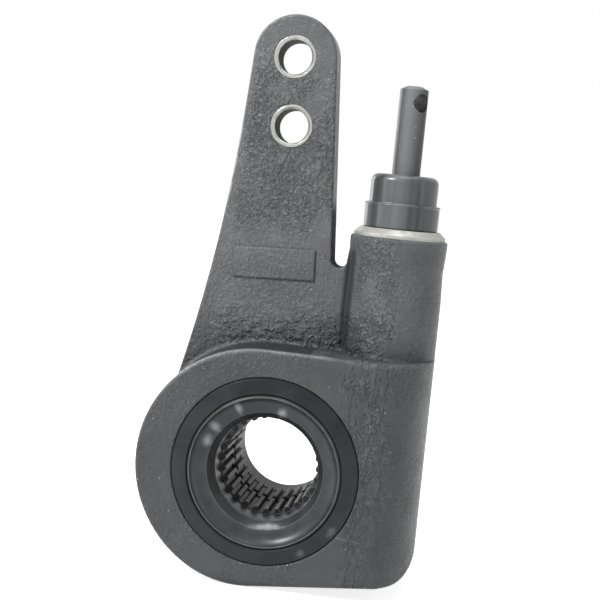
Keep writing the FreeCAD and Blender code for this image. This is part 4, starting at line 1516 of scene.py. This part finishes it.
@dataclass
class Studio:
    """A pale floor, soft lamps and the camera."""

    camera_place: Place = (68.45 * MM, -432.62 * MM, 106.15 * MM)
    camera_target: Place = (4.39 * MM, -6.0 * MM, 62.48 * MM)
    camera_roll: float = math.radians(5.492)
    camera_start: float = 10 * MM
    focal_pixels: float = 1150.0
    photo_pixels: float = 600.0
    sensor: float = 36.0
    floor_size: float = 8.0
    floor_gap: float = 0.1 * MM
    floor_colour: Colour = (0.8, 0.8, 0.8, 1.0)
    floor_glow: float = 0.8
    floor_far: Fade = Fade(0.10, 0.34)
    room_light: float = 0.3
    middle: Place = (4 * MM, 0.0, 60 * MM)
    lamps: tuple[Lamp, ...] = (
        Lamp("key", (-0.38, -0.34, 0.52), (0.16, 0.16), 5.3),
        Lamp("top", (0.05, -0.08, 0.70), (0.40, 0.30), 1.5),
        Lamp("right", (0.75, -0.30, 0.30), (0.14, 0.70), 0.9),
        Lamp("left", (-0.70, -0.30, 0.15), (0.14, 0.70), 0.6),
        Lamp("back", (-0.60, 0.50, 0.15), (0.40, 0.50), 2.6),
    )

    def aimed(self, place: Place, target: Place) -> Matrix:
        """Gives the place and turn of something that looks from a place to a target."""
        way = Vector(target) - Vector(place)
        return Matrix.Translation(place) @ way.to_track_quat("-Z", "Y").to_matrix().to_4x4()

    def camera(self) -> None:
        """Sets the camera where the photograph was taken from."""
        lens = bpy.data.cameras.new("camera")
        lens.sensor_width = self.sensor
        lens.lens = self.sensor * self.focal_pixels / self.photo_pixels
        lens.clip_start = self.camera_start
        camera = bpy.data.objects.new("camera", lens)
        bpy.context.scene.collection.objects.link(camera)
        roll = Matrix.Rotation(self.camera_roll, 4, "Z")
        camera.matrix_world = self.aimed(self.camera_place, self.camera_target) @ roll
        bpy.context.scene.camera = camera

    def seen(self, net: Net) -> Socket:
        """Gives 1 for what the camera sees, directly or in metal and glass."""
        path = net.add("ShaderNodeLightPath").outputs
        return net.largest(path["Is Camera Ray"], path["Is Glossy Ray"], path["Is Transmission Ray"])

    def room(self) -> None:
        """Makes the world: white where it is seen, dimmer as a light."""
        world = bpy.data.worlds.new("room")
        world.use_nodes = True
        world.node_tree.nodes.clear()
        net = Net(world.node_tree)
        level = net.scaled(self.seen(net), self.room_light, 1.0)
        sky = net.add("ShaderNodeBackground", {"Color": WHITE, "Strength": level})
        net.add("ShaderNodeOutputWorld", {"Surface": sky.outputs[0]})
        bpy.context.scene.world = world

    def paper(self) -> bpy.types.Material:
        """Makes the floor's material, which turns to plain white away from the part.

        Returns:
            The material.
        """
        paper = bpy.data.materials.new("floor_paper")
        paper.use_nodes = True
        paper.node_tree.nodes.clear()
        net = Net(paper.node_tree)
        away = net.step(net.length_of(net.place()), self.floor_far)
        glow = net.product(self.seen(net), net.scaled(away, self.floor_glow, 1.0))
        sheet = net.add("ShaderNodeBsdfDiffuse", {"Color": self.floor_colour})
        lit = net.add("ShaderNodeEmission", {"Color": WHITE, "Strength": glow})
        both = net.add("ShaderNodeAddShader", {0: sheet.outputs[0], 1: lit.outputs[0]})
        net.add("ShaderNodeOutputMaterial", {"Surface": both.outputs[0]})
        return paper

    def floor(self) -> None:
        """Lays a white floor that keeps a soft shadow."""
        form = bmesh.new()
        bmesh.ops.create_grid(form, x_segments=1, y_segments=1, size=self.floor_size / 2)
        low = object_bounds()[0][2] - self.floor_gap
        bmesh.ops.translate(form, vec=(0.0, 0.0, low), verts=form.verts)
        floor = new_object("floor", form)
        floor.data.materials.append(self.paper())
        floor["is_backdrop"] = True

    def lights(self) -> None:
        """Hangs the soft lamps, each turned to the middle of the part."""
        for lamp in self.lamps:
            light = bpy.data.lights.new(lamp.name, "AREA")
            light.shape = "RECTANGLE"
            light.size, light.size_y = lamp.size
            light.energy = lamp.power
            holder = bpy.data.objects.new(lamp.name, light)
            bpy.context.scene.collection.objects.link(holder)
            holder.matrix_world = self.aimed(lamp.place, self.middle)

    def build(self) -> None:
        """Sets up the whole studio."""
        self.camera()
        self.room()
        self.floor()
        self.lights()
        bpy.context.scene.view_settings.view_transform = "Standard"


def main() -> None:
    """Builds the sub-assemblies and the studio."""
    logging.basicConfig(level=logging.INFO, format="%(message)s")
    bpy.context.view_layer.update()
    for part in (Casting(), GearSet(), WormSet(), RodSet()):
        part.build()
    Studio().build()
    bpy.context.view_layer.update()


if __name__ == "__main__":
    main()
